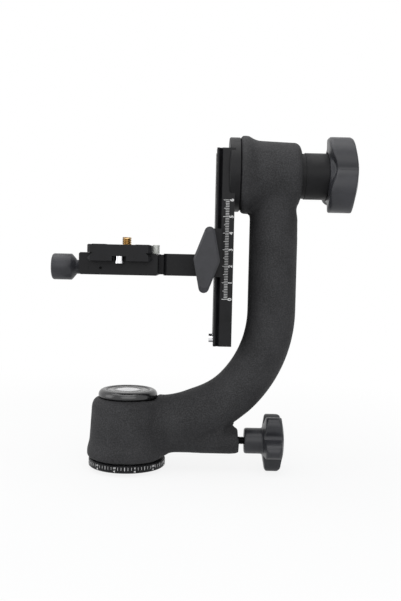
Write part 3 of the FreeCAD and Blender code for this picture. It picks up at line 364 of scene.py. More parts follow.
def knob_plastic(colour):
    """Moulded plastic with rubbed edges and a little dust."""
    material, tree, shader = start_material("Knob plastic", 0.42)
    grain = place_group(tree, "Fine Grain", grain_group, scale=1700.0)
    wear = place_group(tree, "Edge Wear", wear_group, start=0.54, end=0.64)
    dust = place_group(tree, "Dust", dust_group, amount=0.2)
    mix = two_tone(tree, shader, grain.outputs["Handling"], shaded(colour, 0.85), shaded(colour, 1.2))
    worn = over(tree, shader, mix, maths(tree, "MULTIPLY", wear.outputs["Worn"], 0.35), shaded(colour, 2.0))
    over(tree, shader, worn, dust.outputs["Specks"], shaded((0.3, 0.3, 0.3), 1.0))
    shader.inputs["Specular IOR Level"].default_value = 0.3
    rough = spread(tree, grain.outputs["Handling"], 0.0, 1.0, 0.34, 0.46)
    tree.links.new(rough, shader.inputs["Roughness"])
    bumped(tree, shader, grain.outputs["Height"], 0.3, 0.05 * MM)
    return material


def metal(name, colour, roughness, strength=0.15):
    """Bare or plated metal with tool marks."""
    material, tree, shader = start_material(name, roughness, 1.0)
    marks = place_group(tree, "Tool Marks", rings_group, scale=1500.0)
    grain = place_group(tree, "Fine Grain", grain_group, scale=3000.0)
    two_tone(tree, shader, grain.outputs["Handling"], shaded(colour, 0.85), shaded(colour, 1.05))
    rough = spread(tree, grain.outputs["Handling"], 0.0, 1.0, roughness * 0.8, roughness * 1.3)
    tree.links.new(rough, shader.inputs["Roughness"])
    bumped(tree, shader, marks.outputs["Height"], strength, 0.04 * MM)
    return material


def gloss_black():
    """Glossy black of the cap."""
    material, tree, shader = start_material("Gloss black", 0.12)
    grain = place_group(tree, "Fine Grain", grain_group, scale=1400.0)
    two_tone(tree, shader, grain.outputs["Handling"], (0.006, 0.006, 0.007, 1.0), (0.012, 0.012, 0.013, 1.0))
    rough = spread(tree, grain.outputs["Handling"], 0.0, 1.0, 0.2, 0.28)
    tree.links.new(rough, shader.inputs["Roughness"])
    shader.inputs["Specular IOR Level"].default_value = 0.7
    bumped(tree, shader, grain.outputs["Height"], 0.08, 0.02 * MM)
    return material


def bright_disc():
    """Spun disc with a dark ring around a pale centre that is a painted highlight; no lettering."""
    material, tree, shader = start_material("Bright disc", 0.24)
    place = tree.nodes.new("ShaderNodeVectorMath")
    place.operation = "MULTIPLY"
    place.inputs[1].default_value = (1.0, 1.0, 0.0)
    tree.links.new(object_coordinates(tree), place.inputs[0])
    radius = tree.nodes.new("ShaderNodeVectorMath")
    radius.operation = "LENGTH"
    tree.links.new(place.outputs["Vector"], radius.inputs[0])
    # Painted highlight: the pale, partly metallic centre fades out from 5.6 to 9 mm and stands in for a
    # reflection.
    centre = spread(tree, radius.outputs["Value"], 5.6 * MM, 9.0 * MM, 1.0, 0.0)
    two_tone(tree, shader, centre, (0.1, 0.098, 0.096, 1.0), (0.62, 0.62, 0.63, 1.0))
    tree.links.new(maths(tree, "MULTIPLY", centre, 0.85), shader.inputs["Metallic"])
    grain = place_group(tree, "Fine Grain", grain_group, scale=2200.0)
    rough = spread(tree, grain.outputs["Handling"], 0.0, 1.0, 0.16, 0.3)
    tree.links.new(rough, shader.inputs["Roughness"])
    rings = tree.nodes.new("ShaderNodeTexWave")
    rings.wave_type = "RINGS"
    rings.rings_direction = "Z"
    rings.inputs["Scale"].default_value = 900.0
    tree.links.new(place.outputs["Vector"], rings.inputs["Vector"])
    bumped(tree, shader, rings.outputs["Fac"], 0.05, 0.02 * MM)
    return material


def ribbed_rubber():
    """Rubber with ribs across the plate."""
    material, tree, shader = start_material("Ribbed rubber", 0.8)
    grain = place_group(tree, "Fine Grain", grain_group, scale=1500.0)
    two_tone(tree, shader, grain.outputs["Handling"], (0.012, 0.012, 0.012, 1.0), (0.024, 0.024, 0.024, 1.0))
    ribs = tree.nodes.new("ShaderNodeTexWave")
    ribs.bands_direction = "Y"
    ribs.inputs["Scale"].default_value = 160.0
    tree.links.new(object_coordinates(tree), ribs.inputs["Vector"])
    bumped(tree, shader, ribs.outputs["Fac"], 0.8, 0.3 * MM)
    return material


def plain_nylon():
    """Pale plastic of the brake pads."""
    material, tree, shader = start_material("Nylon", 0.5)
    grain = place_group(tree, "Fine Grain", grain_group, scale=900.0)
    two_tone(tree, shader, grain.outputs["Handling"], (0.66, 0.65, 0.6, 1.0), (0.78, 0.77, 0.73, 1.0))
    bumped(tree, shader, grain.outputs["Height"], 0.2, 0.05 * MM)
    return material


def clear_vial():
    """Clear plastic body of the spirit level."""
    material, tree, shader = start_material("Clear vial", 0.12)
    grain = place_group(tree, "Fine Grain", grain_group, scale=700.0)
    two_tone(tree, shader, grain.outputs["Handling"], (0.62, 0.64, 0.6, 1.0), (0.8, 0.81, 0.78, 1.0))
    shader.inputs["Transmission Weight"].default_value = 0.35
    bumped(tree, shader, grain.outputs["Height"], 0.1, 0.03 * MM)
    return material


def scale_paint(colour):
    """Paint of the ticks and figures."""
    material, tree, shader = start_material("Scale paint", 0.55)
    grain = place_group(tree, "Fine Grain", grain_group, scale=1900.0)
    two_tone(tree, shader, grain.outputs["Handling"], shaded(colour, 0.72), shaded(colour, 1.0))
    bumped(tree, shader, grain.outputs["Height"], 0.3, 0.03 * MM)
    return material


# Mesh helpers

def placed(bm, name):
    """A scene object made from a bmesh, which is freed."""
    mesh = bpy.data.meshes.new(name)
    bm.to_mesh(mesh)
    bm.free()
    made = bpy.data.objects.new(name, mesh)
    bpy.context.scene.collection.objects.link(made)
    return made


def finished(bm, name, body, material, smooth=True):
    """Turns a bmesh into a piece that rides on a body."""
    piece = placed(bm, name)
    piece.data.materials.append(material)
    if smooth:
        piece.data.shade_smooth()
    else:
        piece.data.shade_flat()
    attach(piece, body)
    return piece


def copied(node):
    """A merged copy of a frame node as a bmesh, its faces turned outwards."""
    bm = bmesh.new()
    bm.from_mesh(frame["nodes"][node].data)
    bmesh.ops.remove_doubles(bm, verts=bm.verts, dist=MERGE)
    bmesh.ops.recalc_face_normals(bm, faces=bm.faces)
    return bm


def remeshed(bm, voxel):
    """Even faces over a closed shape, as a new bmesh."""
    holder = placed(bm, "working")
    mesh = holder.data
    modifier = holder.modifiers.new("Remesh", "REMESH")
    modifier.mode = "VOXEL"
    modifier.voxel_size = voxel
    solid = holder.evaluated_get(bpy.context.evaluated_depsgraph_get()).to_mesh()
    result = bmesh.new()
    result.from_mesh(solid)
    bpy.data.objects.remove(holder)
    bpy.data.meshes.remove(mesh)
    return result


def softened(bm, verts, rounds):
    """Moves vertices halfway to the middle of their neighbours, a number of times."""
    for _ in range(rounds):
        bmesh.ops.smooth_vert(bm, verts=verts, factor=0.5, use_axis_x=True, use_axis_y=True,
                              use_axis_z=True)


def eased(share):
    """Smooth step from 0 to 1."""
    share = min(max(share, 0.0), 1.0)
    return share * share * (3 - 2 * share)


def near(bm, centre, radius):
    """The vertices inside a sphere."""
    return [vert for vert in bm.verts if (vert.co - centre).length < radius]


def box_at(bm, centre, size, turn=Matrix.Identity(4)):
    """A thin block for one mark."""
    scale = Matrix.Diagonal((*size, 1.0))
    bmesh.ops.create_cube(bm, size=1.0, matrix=Matrix.Translation(centre) @ turn @ scale)


def turned(bm, profile, steps, turn=Matrix.Identity(4), centre=Vector()):
    """Spins (radius, height) points about Z into a closed shape, then places it."""
    verts = [bm.verts.new((radius, 0.0, height)) for radius, height in profile]
    edges = [bm.edges.new(pair) for pair in zip(verts, verts[1:])]
    bmesh.ops.spin(bm, geom=verts + edges, axis=(0, 0, 1), cent=(0, 0, 0), steps=steps, angle=math.tau,
                   use_merge=True)
    bmesh.ops.remove_doubles(bm, verts=bm.verts, dist=0.001 * MM)
    bmesh.ops.recalc_face_normals(bm, faces=bm.faces)
    bmesh.ops.transform(bm, matrix=Matrix.Translation(centre) @ turn, verts=bm.verts)


def plane_cut(bm, point, normal):
    """Cuts off what lies on the normal's side of a plane; returns the edges of the cut."""
    everything = bm.verts[:] + bm.edges[:] + bm.faces[:]
    cut = bmesh.ops.bisect_plane(bm, geom=everything, plane_co=point, plane_no=normal, clear_outer=True)
    return [part for part in cut["geom_cut"] if isinstance(part, bmesh.types.BMEdge)]


def cut_away(bm, point, normal):
    """Cuts off what lies on the normal's side of a plane and closes the cut."""
    bmesh.ops.triangle_fill(bm, edges=plane_cut(bm, point, normal), use_beauty=True)


def threaded(bm, radius, pitch, length):
    """A screw thread about Z from height 0, closed at both ends."""
    steps = 32
    depth = 0.55 * pitch
    spare_turns = 3
    count = int(length / pitch) + spare_turns
    points = []
    for index in range(count):
        root, crest = (index - 1) * pitch, (index - 0.5) * pitch
        points += [(radius - depth, root), (radius, crest)]
    verts = [bm.verts.new((across, 0.0, along)) for across, along in points]
    edges = [bm.edges.new(pair) for pair in zip(verts, verts[1:])]
    bmesh.ops.spin(bm, geom=verts + edges, axis=(0, 0, 1), cent=(0, 0, 0), steps=steps, angle=math.tau,
                   dvec=(0, 0, pitch / steps))
    bmesh.ops.remove_doubles(bm, verts=bm.verts, dist=MERGE)
    for height, side in ((0.0, -1), (length, 1)):
        bmesh.ops.edgeloop_fill(bm, edges=plane_cut(bm, (0, 0, height), (0, 0, side)))
    bmesh.ops.recalc_face_normals(bm, faces=bm.faces)


def lettering(bm, text, size, place):
    """Plain figures added to a bmesh, centred on the place's own origin."""
    curve = bpy.data.curves.new("figure", "FONT")
    curve.body = text
    curve.size = size
    curve.align_x = "CENTER"
    curve.align_y = "CENTER"
    curve.extrude = FIGURE_DEPTH
    curve.offset = 0.03 * size
    curve.resolution_u = 3
    holder = bpy.data.objects.new("figure", curve)
    bpy.context.scene.collection.objects.link(holder)
    mesh = bpy.data.meshes.new_from_object(holder.evaluated_get(bpy.context.evaluated_depsgraph_get()))
    mesh.transform(place)
    bm.from_mesh(mesh)
    bpy.data.objects.remove(holder)
    bpy.data.meshes.remove(mesh)
    bpy.data.curves.remove(curve)


# Operators

class HEAD_OT_finishes(bpy.types.Operator):
    """Give every frame node its finish"""
    bl_idname = "head.finishes"
    bl_label = "Finishes"

    def execute(self, context):
        finish = context.scene.head_finish
        made = {
            "crackle_paint": crackle_paint(finish.coat),
            "gloss_black": gloss_black(),
            "bright_disc": bright_disc(),
            "black_anodised": black_metal("Black anodised", finish.black_metal, 0.42),
            "rail_anodised": black_metal("Rail anodised", shaded(finish.black_metal, 0.9)[:3], 0.38),
            "plate_anodised": black_metal("Plate anodised", shaded(finish.black_metal, 1.15)[:3], 0.45),
            "satin_black": black_metal("Satin black", shaded(finish.black_metal, 0.95)[:3], 0.5),
            "knob_plastic": knob_plastic(finish.knob),
            "steel": metal("Turned steel", finish.steel, 0.3),
            "steel_screws": metal("Blackened screws", (0.1, 0.1, 0.105), 0.38),
            "black_screw": metal("Blackened stud", (0.07, 0.07, 0.073), 0.35),
            "bright_screw": metal("Bright plating", finish.chrome, 0.12, 0.05),
            "brass_parts": metal("Brass", finish.brass, 0.26),
            "rubber_pad": ribbed_rubber(),
            "nylon": plain_nylon(),
            "clear_vial": clear_vial(),
        }
        for slot, material in made.items():
            material["slot"] = slot
        darkened = {"clamp_guide_screws": "black_anodised"}
        for node in frame["nodes"]:
            if node.startswith("tilt_front_bearing"):
                darkened[node] = "steel_screws"
        for subpart in frame["record"]["subparts"]:
            materials = frame["nodes"][subpart["node"]].data.materials
            materials.clear()
            materials.append(made[darkened.get(subpart["node"], subpart["material_slot"])])
        return {"FINISHED"}


def finish_of(slot):
    """The material made for one of the record's slots."""
    return next(material for material in bpy.data.materials if material.get("slot") == slot)


def extend_lock_boss(bm):
    """Gives the lock boss back the length that its rounding took."""
    gain, fade, width = 1.2 * MM, 6 * MM, 11 * MM
    start = LOCK_END - 8 * MM
    for vert in bm.verts:
        if vert.co.x > start and (vert.co - Vector((vert.co.x, 0, LOCK_HEIGHT))).length < width:
            vert.co.x += gain * eased((vert.co.x - start) / fade)


def raise_beam(bm):
    """Lifts the beam's top where it comes out from behind the cap."""
    lift = 2.3 * MM
    rise, level, fall = 4 * MM, 20 * MM, 22 * MM
    below_cap, height_fade = 13 * MM, 8 * MM
    start = cap_high.x - 2 * MM
    for vert in bm.verts:
        along = eased((vert.co.x - start) / rise) * (1 - eased((vert.co.x - start - level) / fall))
        upper = eased((vert.co.z - cap_high.z + below_cap) / height_fade)
        vert.co.z += lift * along * upper


def fit_housing(bm):
    """Brings the housing's rim up to the turning flange and shortens its back."""
    rim_shift, rim_fade = 1.4 * MM, 4 * MM
    back_shift, back_fade = 2.4 * MM, 9 * MM
    below_axis, height_fade = 28 * MM, 10 * MM
    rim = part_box("tilt_flange")[1].x + 1.5 * MM
    back = housing_low.x + 4.5 * MM
    for vert in bm.verts:
        upper = eased((vert.co.z - TILT_HEIGHT + below_axis) / height_fade)
        front_share = eased((rim + rim_fade - vert.co.x) / rim_fade)
        back_share = eased((vert.co.x - back + back_fade) / back_fade)
        vert.co.x -= upper * (rim_shift * front_share + back_shift * back_share)


class HEAD_OT_casting(bpy.types.Operator):
    """Make the arm casting with the soft blends of a sand casting"""
    bl_idname = "head.casting"
    bl_label = "Arm casting"

    def execute(self, context):
        detail = context.scene.head_detail
        bm = remeshed(copied("arm_casting"), detail.casting_voxel)
        softened(bm, bm.verts, 2)
        boss_top = cap_low.z + 3.0 * MM
        foot = dial_high.z
        foot_edge = foot + 2.5 * MM
        inner_share = 0.75
        # The centre, the radius and the rounds of smoothing of each blend
        blends = {
            "boss top to beam": (Vector((24 * MM, 0, boss_top - 6 * MM)), 19 * MM, 24),
            "boss foot to beam": (Vector((27 * MM, 0, foot + 6 * MM)), 19 * MM, 24),
            "upright to housing": (Vector((UPRIGHT_X + 6 * MM, 0, TILT_HEIGHT - 24 * MM)), 17 * MM, 24),
            "beam to lock boss": (Vector((68 * MM, 0, 28 * MM)), 12 * MM, 22),
            "lock boss end": (Vector((LOCK_END, 0, LOCK_HEIGHT)), 10 * MM, 16),
        }
        for centre, radius, rounds in blends.values():
            softened(bm, near(bm, centre, radius), rounds // 2)
            softened(bm, near(bm, centre, radius * inner_share), rounds // 2)
        softened(bm, [vert for vert in bm.verts if vert.co.z < foot_edge], 10)
        extend_lock_boss(bm)
        raise_beam(bm)
        fit_housing(bm)
        piece = finished(bm, "arm_casting_blended", "arm", finish_of("crackle_paint"))
        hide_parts("arm_casting")
        return {"FINISHED"}


class HEAD_OT_knobs(bpy.types.Operator):
    """Make the moulded knobs with soft edges"""
    bl_idname = "head.knobs"
    bl_label = "Moulded knobs"

    def execute(self, context):
        voxel = context.scene.head_detail.knob_voxel
        knobs = (
            ("tilt_knob", "tilt_lock", 1.0, 2, shape_tilt_knob),
            ("pan_lock_knob", "pan_lock", 0.9, 3, shape_star),
        )
        for node, body, coarseness, rounds, shape in knobs:
            bm = remeshed(copied(node), voxel * coarseness)
            shape(bm)
            softened(bm, bm.verts, rounds)
            piece = finished(bm, node + "_moulded", body, finish_of("knob_plastic"))
            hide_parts(node)
        return {"FINISHED"}


def around(co, height):
    """Distance from a line parallel to X, and the angle about it from -Y towards +Z."""
    up = co.z - height
    return math.hypot(co.y, up), math.atan2(up, -co.y)


def shape_tilt_knob(bm):
    """Cuts the back face away between the lobes."""
    low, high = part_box("tilt_knob")
    lobes, lobe_angle = 3, math.radians(69.6)
    hub_radius, fade, cut_depth = 14.8 * MM, 3 * MM, 4.2 * MM
    for vert in bm.verts:
        distance, angle = around(vert.co, TILT_HEIGHT)
        valley = 0.5 - 0.5 * math.cos(lobes * (angle - lobe_angle))
        outer = eased((distance - hub_radius) / fade)
        depth = 1.0 - (vert.co.x - low.x) / (high.x - low.x)
        vert.co.x += cut_depth * valley ** 2 * outer * max(depth, 0.0)


def shape_star(bm):
    """Widens the star's valleys and thins its lobes towards their tips."""
    low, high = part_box("pan_lock_knob")
    star_start = low.x + 11.6 * MM
    middle = (star_start + high.x) / 2
    lobes, lobe_angle = 5, math.radians(58)
    widening, valley_start, valley_fade = 0.13, 9 * MM, 6 * MM
    thinning, tip_start, tip_fade = 0.24, 7 * MM, 13 * MM
    margin = 0.5 * MM
    for vert in bm.verts:
        distance, angle = around(vert.co, LOCK_HEIGHT)
        if vert.co.x > star_start - margin:
            valley = 0.5 - 0.5 * math.cos(lobes * (angle - lobe_angle))
            share = 1.0 - widening * valley * eased((distance - valley_start) / valley_fade)
            vert.co.y *= share
            vert.co.z = LOCK_HEIGHT + (vert.co.z - LOCK_HEIGHT) * share
            thin = 1.0 - thinning * eased((distance - tip_start) / tip_fade)
            vert.co.x = middle + (vert.co.x - middle) * thin


class HEAD_OT_machined(bpy.types.Operator):
    """Cut the plate's corners, the carriage's slanted edge and the bush's recess, and turn the clamp knob"""
    bl_idname = "head.machined"
    bl_label = "Machined parts"

    def execute(self, context):
        make_plate()
        slant_carriage()
        turn_clamp_knob()
        recess = 2.5 * MM
        bm = copied("pan_lock_bush")
        cut_away(bm, Vector((LOCK_END - recess, 0, LOCK_HEIGHT)), (1, 0, 0))
        bush = finished(bm, "pan_lock_bush_recessed", "arm", finish_of("brass_parts"), False)
        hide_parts("pan_lock_bush")
        return {"FINISHED"}


def slant_carriage():
    """The carriage's two halves with their front top edge cut off at a slant."""
    slant_height, slant_depth = 10.5 * MM, 4.2 * MM
    finish = finish_of("black_anodised")
    for node, body in (("carriage_block", "carriage"), ("carriage_jaw", "rail_jaw")):
        bm = copied(node)
        low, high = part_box(node)
        corner = Vector((low.x, 0, high.z - slant_height))
        slope = Vector((slant_depth, 0, slant_height)).normalized()
        cut_away(bm, corner, (-slope.z, 0, slope.x))
        piece = finished(bm, node + "_slanted", body, finish, False)
        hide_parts(node)


def make_plate():
    """The plate with its end corners cut off and its side lips a little lower."""
    low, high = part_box("quick_release_plate")
    lip_height, lip_drop, tolerance = 4.5 * MM, 0.35 * MM, 0.1 * MM
    corner_cut = 1.8
    middle = (low.x + high.x) / 2
    bm = copied("quick_release_plate")
    lip = high.z - lip_height
    for vert in bm.verts:
        on_side = abs(vert.co.x - middle) > high.x - middle - tolerance
        if on_side and abs(vert.co.z - lip) < tolerance:
            vert.co.z -= lip_drop
    for side in (-1, 1):
        for end in (-1, 1):
            corner = Vector((middle + side * (high.x - middle), end * high.y, 0))
            inward = Vector((-side, 0, 0)) * corner_cut * MM
            cut_away(bm, corner + inward, (side, end, 0))
    piece = finished(bm, "plate_with_corners", "plate", finish_of("plate_anodised"), False)
    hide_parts("quick_release_plate")


def turn_clamp_knob():
    """The clamp knob with a rounded face, a bevelled rim and a conical hub."""
    low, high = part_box("clamp_knob")
    radius = (high.y - low.y) / 2
    length = high.x - low.x
    rim, bevel = 12.9 * MM, 0.8 * MM
    cone_radius, hub_radius = 5.2 * MM, 4.4 * MM
    face_round, round_steps = 1.5 * MM, 6
    profile = [(0, 0)]
    for index in range(round_steps + 1):
        turn = index / round_steps * math.pi / 2
        profile.append((radius - face_round * (1 - math.sin(turn)), face_round * (1 - math.cos(turn))))
    profile += [(radius, rim - bevel), (radius - bevel, rim), (cone_radius, rim + 1.9 * MM),
                (hub_radius, rim + 2.4 * MM), (hub_radius, length), (0, length)]
    bm = bmesh.new()
    centre = Vector((low.x, 0, (low.z + high.z) / 2))
    turned(bm, profile, ROUND_STEPS, Matrix.Rotation(QUARTER, 4, "Y"), centre)
    piece = finished(bm, "clamp_knob_turned", "clamp_lock", finish_of("knob_plastic"))
    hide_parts("clamp_knob")


class HEAD_OT_cap(bpy.types.Operator):
    """Turn the glossy cap and its plain disc"""
    bl_idname = "head.cap"
    bl_label = "Cap"

    def execute(self, context):
        radius = cap_high.x
        top = cap_high.z
        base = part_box("arm_casting")[0].z + 38 * MM
        height = top - base
        crest = top + 0.6 * MM
        inner = disc_high.x + 1.1 * MM
        skirt = 16 * MM
        bead, bead_steps = 3.4 * MM, 8
        seat = disc_low.z + 0.1 * MM
        profile = [(0, cap_low.z), (skirt, cap_low.z), (skirt, base), (radius - 0.4 * MM, base),
                   (radius, base + height * 0.25)]
        for index in range(bead_steps + 1):
            angle = index / bead_steps * math.pi / 2
            profile.append((radius - bead + bead * math.cos(angle), crest - bead + bead * math.sin(angle)))
        profile += [(inner + 1.4 * MM, crest), (inner + 0.6 * MM, crest - 0.2 * MM),
                    (inner + 0.1 * MM, top), (inner + 0.05 * MM, seat), (0, seat)]
        bm = bmesh.new()
        turned(bm, profile, ROUND_STEPS)
        cap = finished(bm, "pan_cap_turned", "arm", finish_of("gloss_black"))
        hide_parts("pan_cap")
        face = top + 0.2 * MM
        underside = disc_low.z + 0.15 * MM
        bevel = 0.3 * MM
        groove = face - 0.2 * MM
        disc = [(0, underside), (inner, underside), (inner, face - bevel), (inner - bevel, face),
                (9.4 * MM, face), (9.1 * MM, groove), (8.8 * MM, groove), (8.5 * MM, face),
                (5 * MM, face + 0.12 * MM), (0, face + 0.2 * MM)]
        bm = bmesh.new()
        turned(bm, disc, ROUND_STEPS)
        piece = finished(bm, "pan_cap_disc_turned", "arm", finish_of("bright_disc"))
        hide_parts("pan_cap_disc")
        return {"FINISHED"}


class HEAD_OT_dial_marks(bpy.types.Operator):
    """Mark the dial's side with ticks, pointers and degrees"""
    bl_idname = "head.dial_marks"
    bl_label = "Dial marks"

    def execute(self, context):
        detail = context.scene.head_detail
        radius = dial_high.x
        upper = dial_low.z + 2.85 * MM
        figure_height = upper + 0.35 * MM
        figure_size = 1.6 * MM
        pointer_height = dial_low.z + 1.25 * MM
        pointer_size = 0.85 * MM
        long_tick = (0.36 * MM, MARK_DEPTH, 2.2 * MM)
        short_tick = (0.24 * MM, MARK_DEPTH, 1.8 * MM)
        bm = bmesh.new()
        for degrees in range(0, 360, detail.dial_step):
            turn = Matrix.Rotation(detail.dial_turn + math.radians(degrees), 4, "Z")
            if degrees % 30 == 0:
                face = turn @ Matrix.Translation((0, -radius, figure_height))
                upright = face @ Matrix.Rotation(QUARTER, 4, "X")
                lettering(bm, str((360 - degrees) % 360), figure_size, upright)
                foot = turn @ Matrix.Translation((0, -radius, pointer_height))
                point = foot @ Matrix.Rotation(QUARTER, 4, "X") @ Matrix.Rotation(QUARTER, 4, "Z")
                bmesh.ops.create_cone(bm, segments=3, cap_ends=True, radius1=pointer_size,
                                      radius2=pointer_size, depth=MARK_DEPTH, matrix=point)
            else:
                size = long_tick if degrees % 15 == 0 else short_tick
                box_at(bm, turn @ Vector((0, -radius, upper)), size, turn)
        paint = scale_paint(context.scene.head_finish.marks)
        finished(bm, "dial_marks", "base", paint, False)
        return {"FINISHED"}


class HEAD_OT_ruler(bpy.types.Operator):
    """Mark the rail's near side with a centimetre ruler"""
    bl_idname = "head.ruler"
    bl_label = "Ruler"

    def execute(self, context):
        detail = context.scene.head_detail
        side = rail_low.y
        zero = rail_low.z + detail.ruler_zero
        tick_end = rail_low.x + 8.1 * MM
        figure_x = rail_low.x + 9.6 * MM
        figure_size = 3.3 * MM
        whole_tick, half_tick, plain_tick = 3.6, 3.0, 2.2
        tick_width = 0.3 * MM
        bm = bmesh.new()
        for index in range(detail.ruler_last * 10 + 1):
            length = {0: whole_tick, 5: half_tick}.get(index % 10, plain_tick) * MM
            centre = Vector((tick_end - length / 2, side, zero + index * MM))
            box_at(bm, centre, (length, MARK_DEPTH, tick_width))
        turn = Matrix.Rotation(QUARTER, 4, "X") @ Matrix.Rotation(QUARTER, 4, "Z")
        for number in range(detail.ruler_last + 1):
            place = Matrix.Translation((figure_x, side, zero + number * 10 * MM))
            lettering(bm, str(number), figure_size, place @ turn)
        paint = scale_paint(context.scene.head_finish.marks)
        finished(bm, "rail_ruler", "cradle", paint, False)
        return {"FINISHED"}


class HEAD_OT_threads(bpy.types.Operator):
    """Cut the threads of the camera screw and of the pan lock's stud"""
    bl_idname = "head.threads"
    bl_label = "Threads"

    def execute(self, context):
        detail = context.scene.head_detail
        thread_camera_screw(detail.thread_pitch)
        thread_lock_stud(detail.stud_pitch)
        return {"FINISHED"}


def thread_camera_screw(pitch):
    """The camera screw with its head, its neck and a real thread."""
    centre = (screw_low + screw_high) / 2
    head_height, head_bevel, head_steps = 2.6 * MM, 0.3 * MM, 48
    thread_radius = 3.175 * MM
    neck_radius = 2.5 * MM
    thread_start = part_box("quick_release_plate")[1].z + 0.5 * MM
    bm = bmesh.new()
    threaded(bm, thread_radius, pitch, screw_high.z - thread_start)
    bmesh.ops.translate(bm, vec=(centre.x, centre.y, thread_start), verts=bm.verts)
    head = bmesh.new()
    outer = (screw_high.x - screw_low.x) / 2
    neck_top = thread_start - screw_low.z
    profile = [(0, 0), (outer - head_bevel, 0), (outer, head_bevel), (outer, head_height),
               (neck_radius, head_height), (neck_radius, neck_top), (0, neck_top)]
    turned(head, profile, head_steps, centre=Vector((centre.x, centre.y, screw_low.z)))
    joined = bpy.data.meshes.new("head")
    head.to_mesh(joined)
    head.free()
    bm.from_mesh(joined)
    bpy.data.meshes.remove(joined)
    finish = finish_of("brass_parts")
    piece = finished(bm, "camera_screw_threaded", "camera_screw", finish, False)
    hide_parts("camera_screw")


def thread_lock_stud(pitch):
    """The pan lock's stud, threaded from end to end."""
    radius = (pan_stud_high.y - pan_stud_low.y) / 2
    bm = bmesh.new()
    threaded(bm, radius, pitch, pan_stud_high.x - pan_stud_low.x)
    place = Matrix.Translation((pan_stud_low.x, 0, (pan_stud_low.z + pan_stud_high.z) / 2))
    bmesh.ops.transform(bm, matrix=place @ Matrix.Rotation(QUARTER, 4, "Y"), verts=bm.verts)
    finish = finish_of("black_screw")
    piece = finished(bm, "pan_lock_stud_threaded", "pan_lock", finish, False)
    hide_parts("pan_lock_stud")


class HEAD_OT_stage(bpy.types.Operator):
    """Lay the floor and set the lights, the surroundings and the camera"""
    bl_idname = "head.stage"
    bl_label = "Stage"

    def execute(self, context):
        stage = context.scene.head_stage
        lay_floor(stage)
        set_lights(stage)
        set_surroundings(stage)
        set_camera(stage)
        context.scene.view_settings.view_transform = "Standard"
        return {"FINISHED"}


def lay_floor(stage):
    """A large pale floor at the head's lowest point, whiter towards the distance."""
    bm = bmesh.new()
    bmesh.ops.create_grid(bm, x_segments=1, y_segments=1, size=6.0)
    bmesh.ops.translate(bm, vec=(0, 0, cad_box[0].z), verts=bm.verts)
    floor = placed(bm, "floor")
    material, tree, shader = start_material("Pale floor", 0.9)
    shader.inputs["Base Color"].default_value = (*stage.floor, 1.0)
    shader.inputs["Specular IOR Level"].default_value = 0.2
    white = tree.nodes.new("ShaderNodeEmission")
    white.inputs["Color"].default_value = (1.0, 1.0, 1.0, 1.0)
    mix = tree.nodes.new("ShaderNodeMixShader")
    away = tree.nodes.new("ShaderNodeVectorMath")
    away.operation = "LENGTH"
    tree.links.new(object_coordinates(tree), away.inputs[0])
    whiteness = spread(tree, away.outputs["Value"], 0.1, 0.45, 0.86, 1.0)
    tree.links.new(maths(tree, "MULTIPLY", seen_directly(tree), whiteness), mix.inputs["Fac"])
    tree.links.new(shader.outputs["BSDF"], mix.inputs[1])
    tree.links.new(white.outputs["Emission"], mix.inputs[2])
    tree.links.new(mix.outputs["Shader"], tree.nodes["Material Output"].inputs["Surface"])
    floor.data.materials.append(material)


def seen_directly(tree):
    """High for rays from the camera, and for those that metal and glass send on."""
    rays = tree.nodes.new("ShaderNodeLightPath")
    direct = maths(tree, "MAXIMUM", rays.outputs["Is Camera Ray"], rays.outputs["Is Glossy Ray"])
    return maths(tree, "MAXIMUM", direct, rays.outputs["Is Transmission Ray"])


def set_lights(stage):
    """Three softboxes that face the head's middle."""
    middle = Vector((0.04, 0.0, 0.1))
    # The name, the power, the place and the size of each light
    lights = [("overhead", stage.key_power, (-0.05, -0.1, 0.95), (1.1, 0.9)),
              ("front", stage.front_power, (0.15, -1.2, 0.55), (1.3, 0.9)),
              ("left", stage.side_power, (-0.95, -0.25, 0.35), (0.6, 0.8))]
    for name, power, place, size in lights:
        data = bpy.data.lights.new(name, "AREA")
        data.shape = "RECTANGLE"
        data.size, data.size_y = size
        data.energy = power
        light = bpy.data.objects.new(name, data)
        light.location = place
        light.rotation_euler = (middle - light.location).to_track_quat("-Z", "Y").to_euler()
        bpy.context.scene.collection.objects.link(light)


def set_surroundings(stage):
    """White for the camera and for reflections, dimmer as a light."""
    world = bpy.data.worlds.new("surroundings")
    world.use_nodes = True
    tree = world.node_tree
    back = tree.nodes["Background"]
    back.inputs["Color"].default_value = (1.0, 1.0, 1.0, 1.0)
    strength = maths(tree, "MULTIPLY", seen_directly(tree), 1.0 - stage.fill)
    tree.links.new(maths(tree, "ADD", strength, stage.fill), back.inputs["Strength"])
    bpy.context.scene.world = world


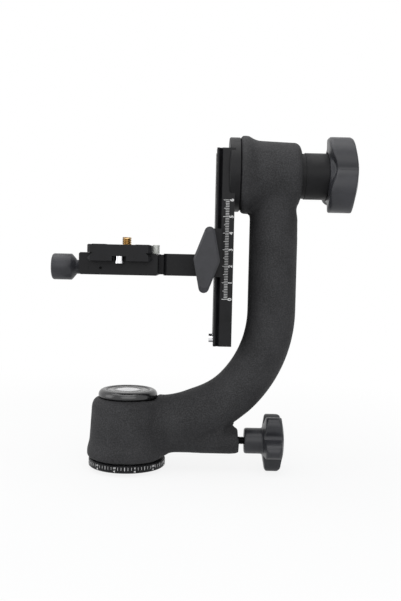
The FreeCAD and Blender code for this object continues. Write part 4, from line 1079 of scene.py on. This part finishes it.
def set_camera(stage):
    """The camera of the photograph."""
    data = bpy.data.cameras.new("camera")
    data.sensor_fit = "VERTICAL"
    data.sensor_height = 36.0
    data.lens = stage.focal_length
    data.clip_start = 0.01
    camera = bpy.data.objects.new("camera", data)
    look = Matrix.Rotation(math.pi / 2 - stage.pitch, 4, "X") @ Matrix.Rotation(stage.roll, 4, "Z")
    camera.matrix_world = Matrix.Translation(stage.place) @ look
    bpy.context.scene.collection.objects.link(camera)
    bpy.context.scene.camera = camera


class HEAD_PT_sidebar(bpy.types.Panel):
    """Lists the head's operators and settings"""
    bl_idname = "HEAD_PT_sidebar"
    bl_label = "Gimbal Head"
    bl_space_type = "VIEW_3D"
    bl_region_type = "UI"
    bl_category = "Gimbal Head"

    def draw(self, context):
        for operator in OPERATORS:
            self.layout.operator(operator.bl_idname)
        for group in (context.scene.head_finish, context.scene.head_detail, context.scene.head_stage):
            box = self.layout.box()
            for name in group.__annotations__:
                box.prop(group, name)


GROUPS = {"head_finish": HeadFinish, "head_detail": HeadDetail, "head_stage": HeadStage}
OPERATORS = (HEAD_OT_finishes, HEAD_OT_casting, HEAD_OT_knobs, HEAD_OT_machined, HEAD_OT_cap,
             HEAD_OT_dial_marks, HEAD_OT_ruler, HEAD_OT_threads, HEAD_OT_stage)


def register():
    for made in (*GROUPS.values(), *OPERATORS, HEAD_PT_sidebar):
        bpy.utils.register_class(made)
    for name, group in GROUPS.items():
        setattr(bpy.types.Scene, name, PointerProperty(type=group))


def unregister():
    for name in GROUPS:
        delattr(bpy.types.Scene, name)
    for made in reversed((*GROUPS.values(), *OPERATORS, HEAD_PT_sidebar)):
        bpy.utils.unregister_class(made)


def main():
    """Registers the add-on and runs its operators in order."""
    register()
    bpy.ops.head.finishes()
    bpy.ops.head.casting()
    bpy.ops.head.knobs()
    bpy.ops.head.machined()
    bpy.ops.head.cap()
    bpy.ops.head.dial_marks()
    bpy.ops.head.ruler()
    bpy.ops.head.threads()
    bpy.ops.head.stage()


if __name__ == "__main__":
    main()
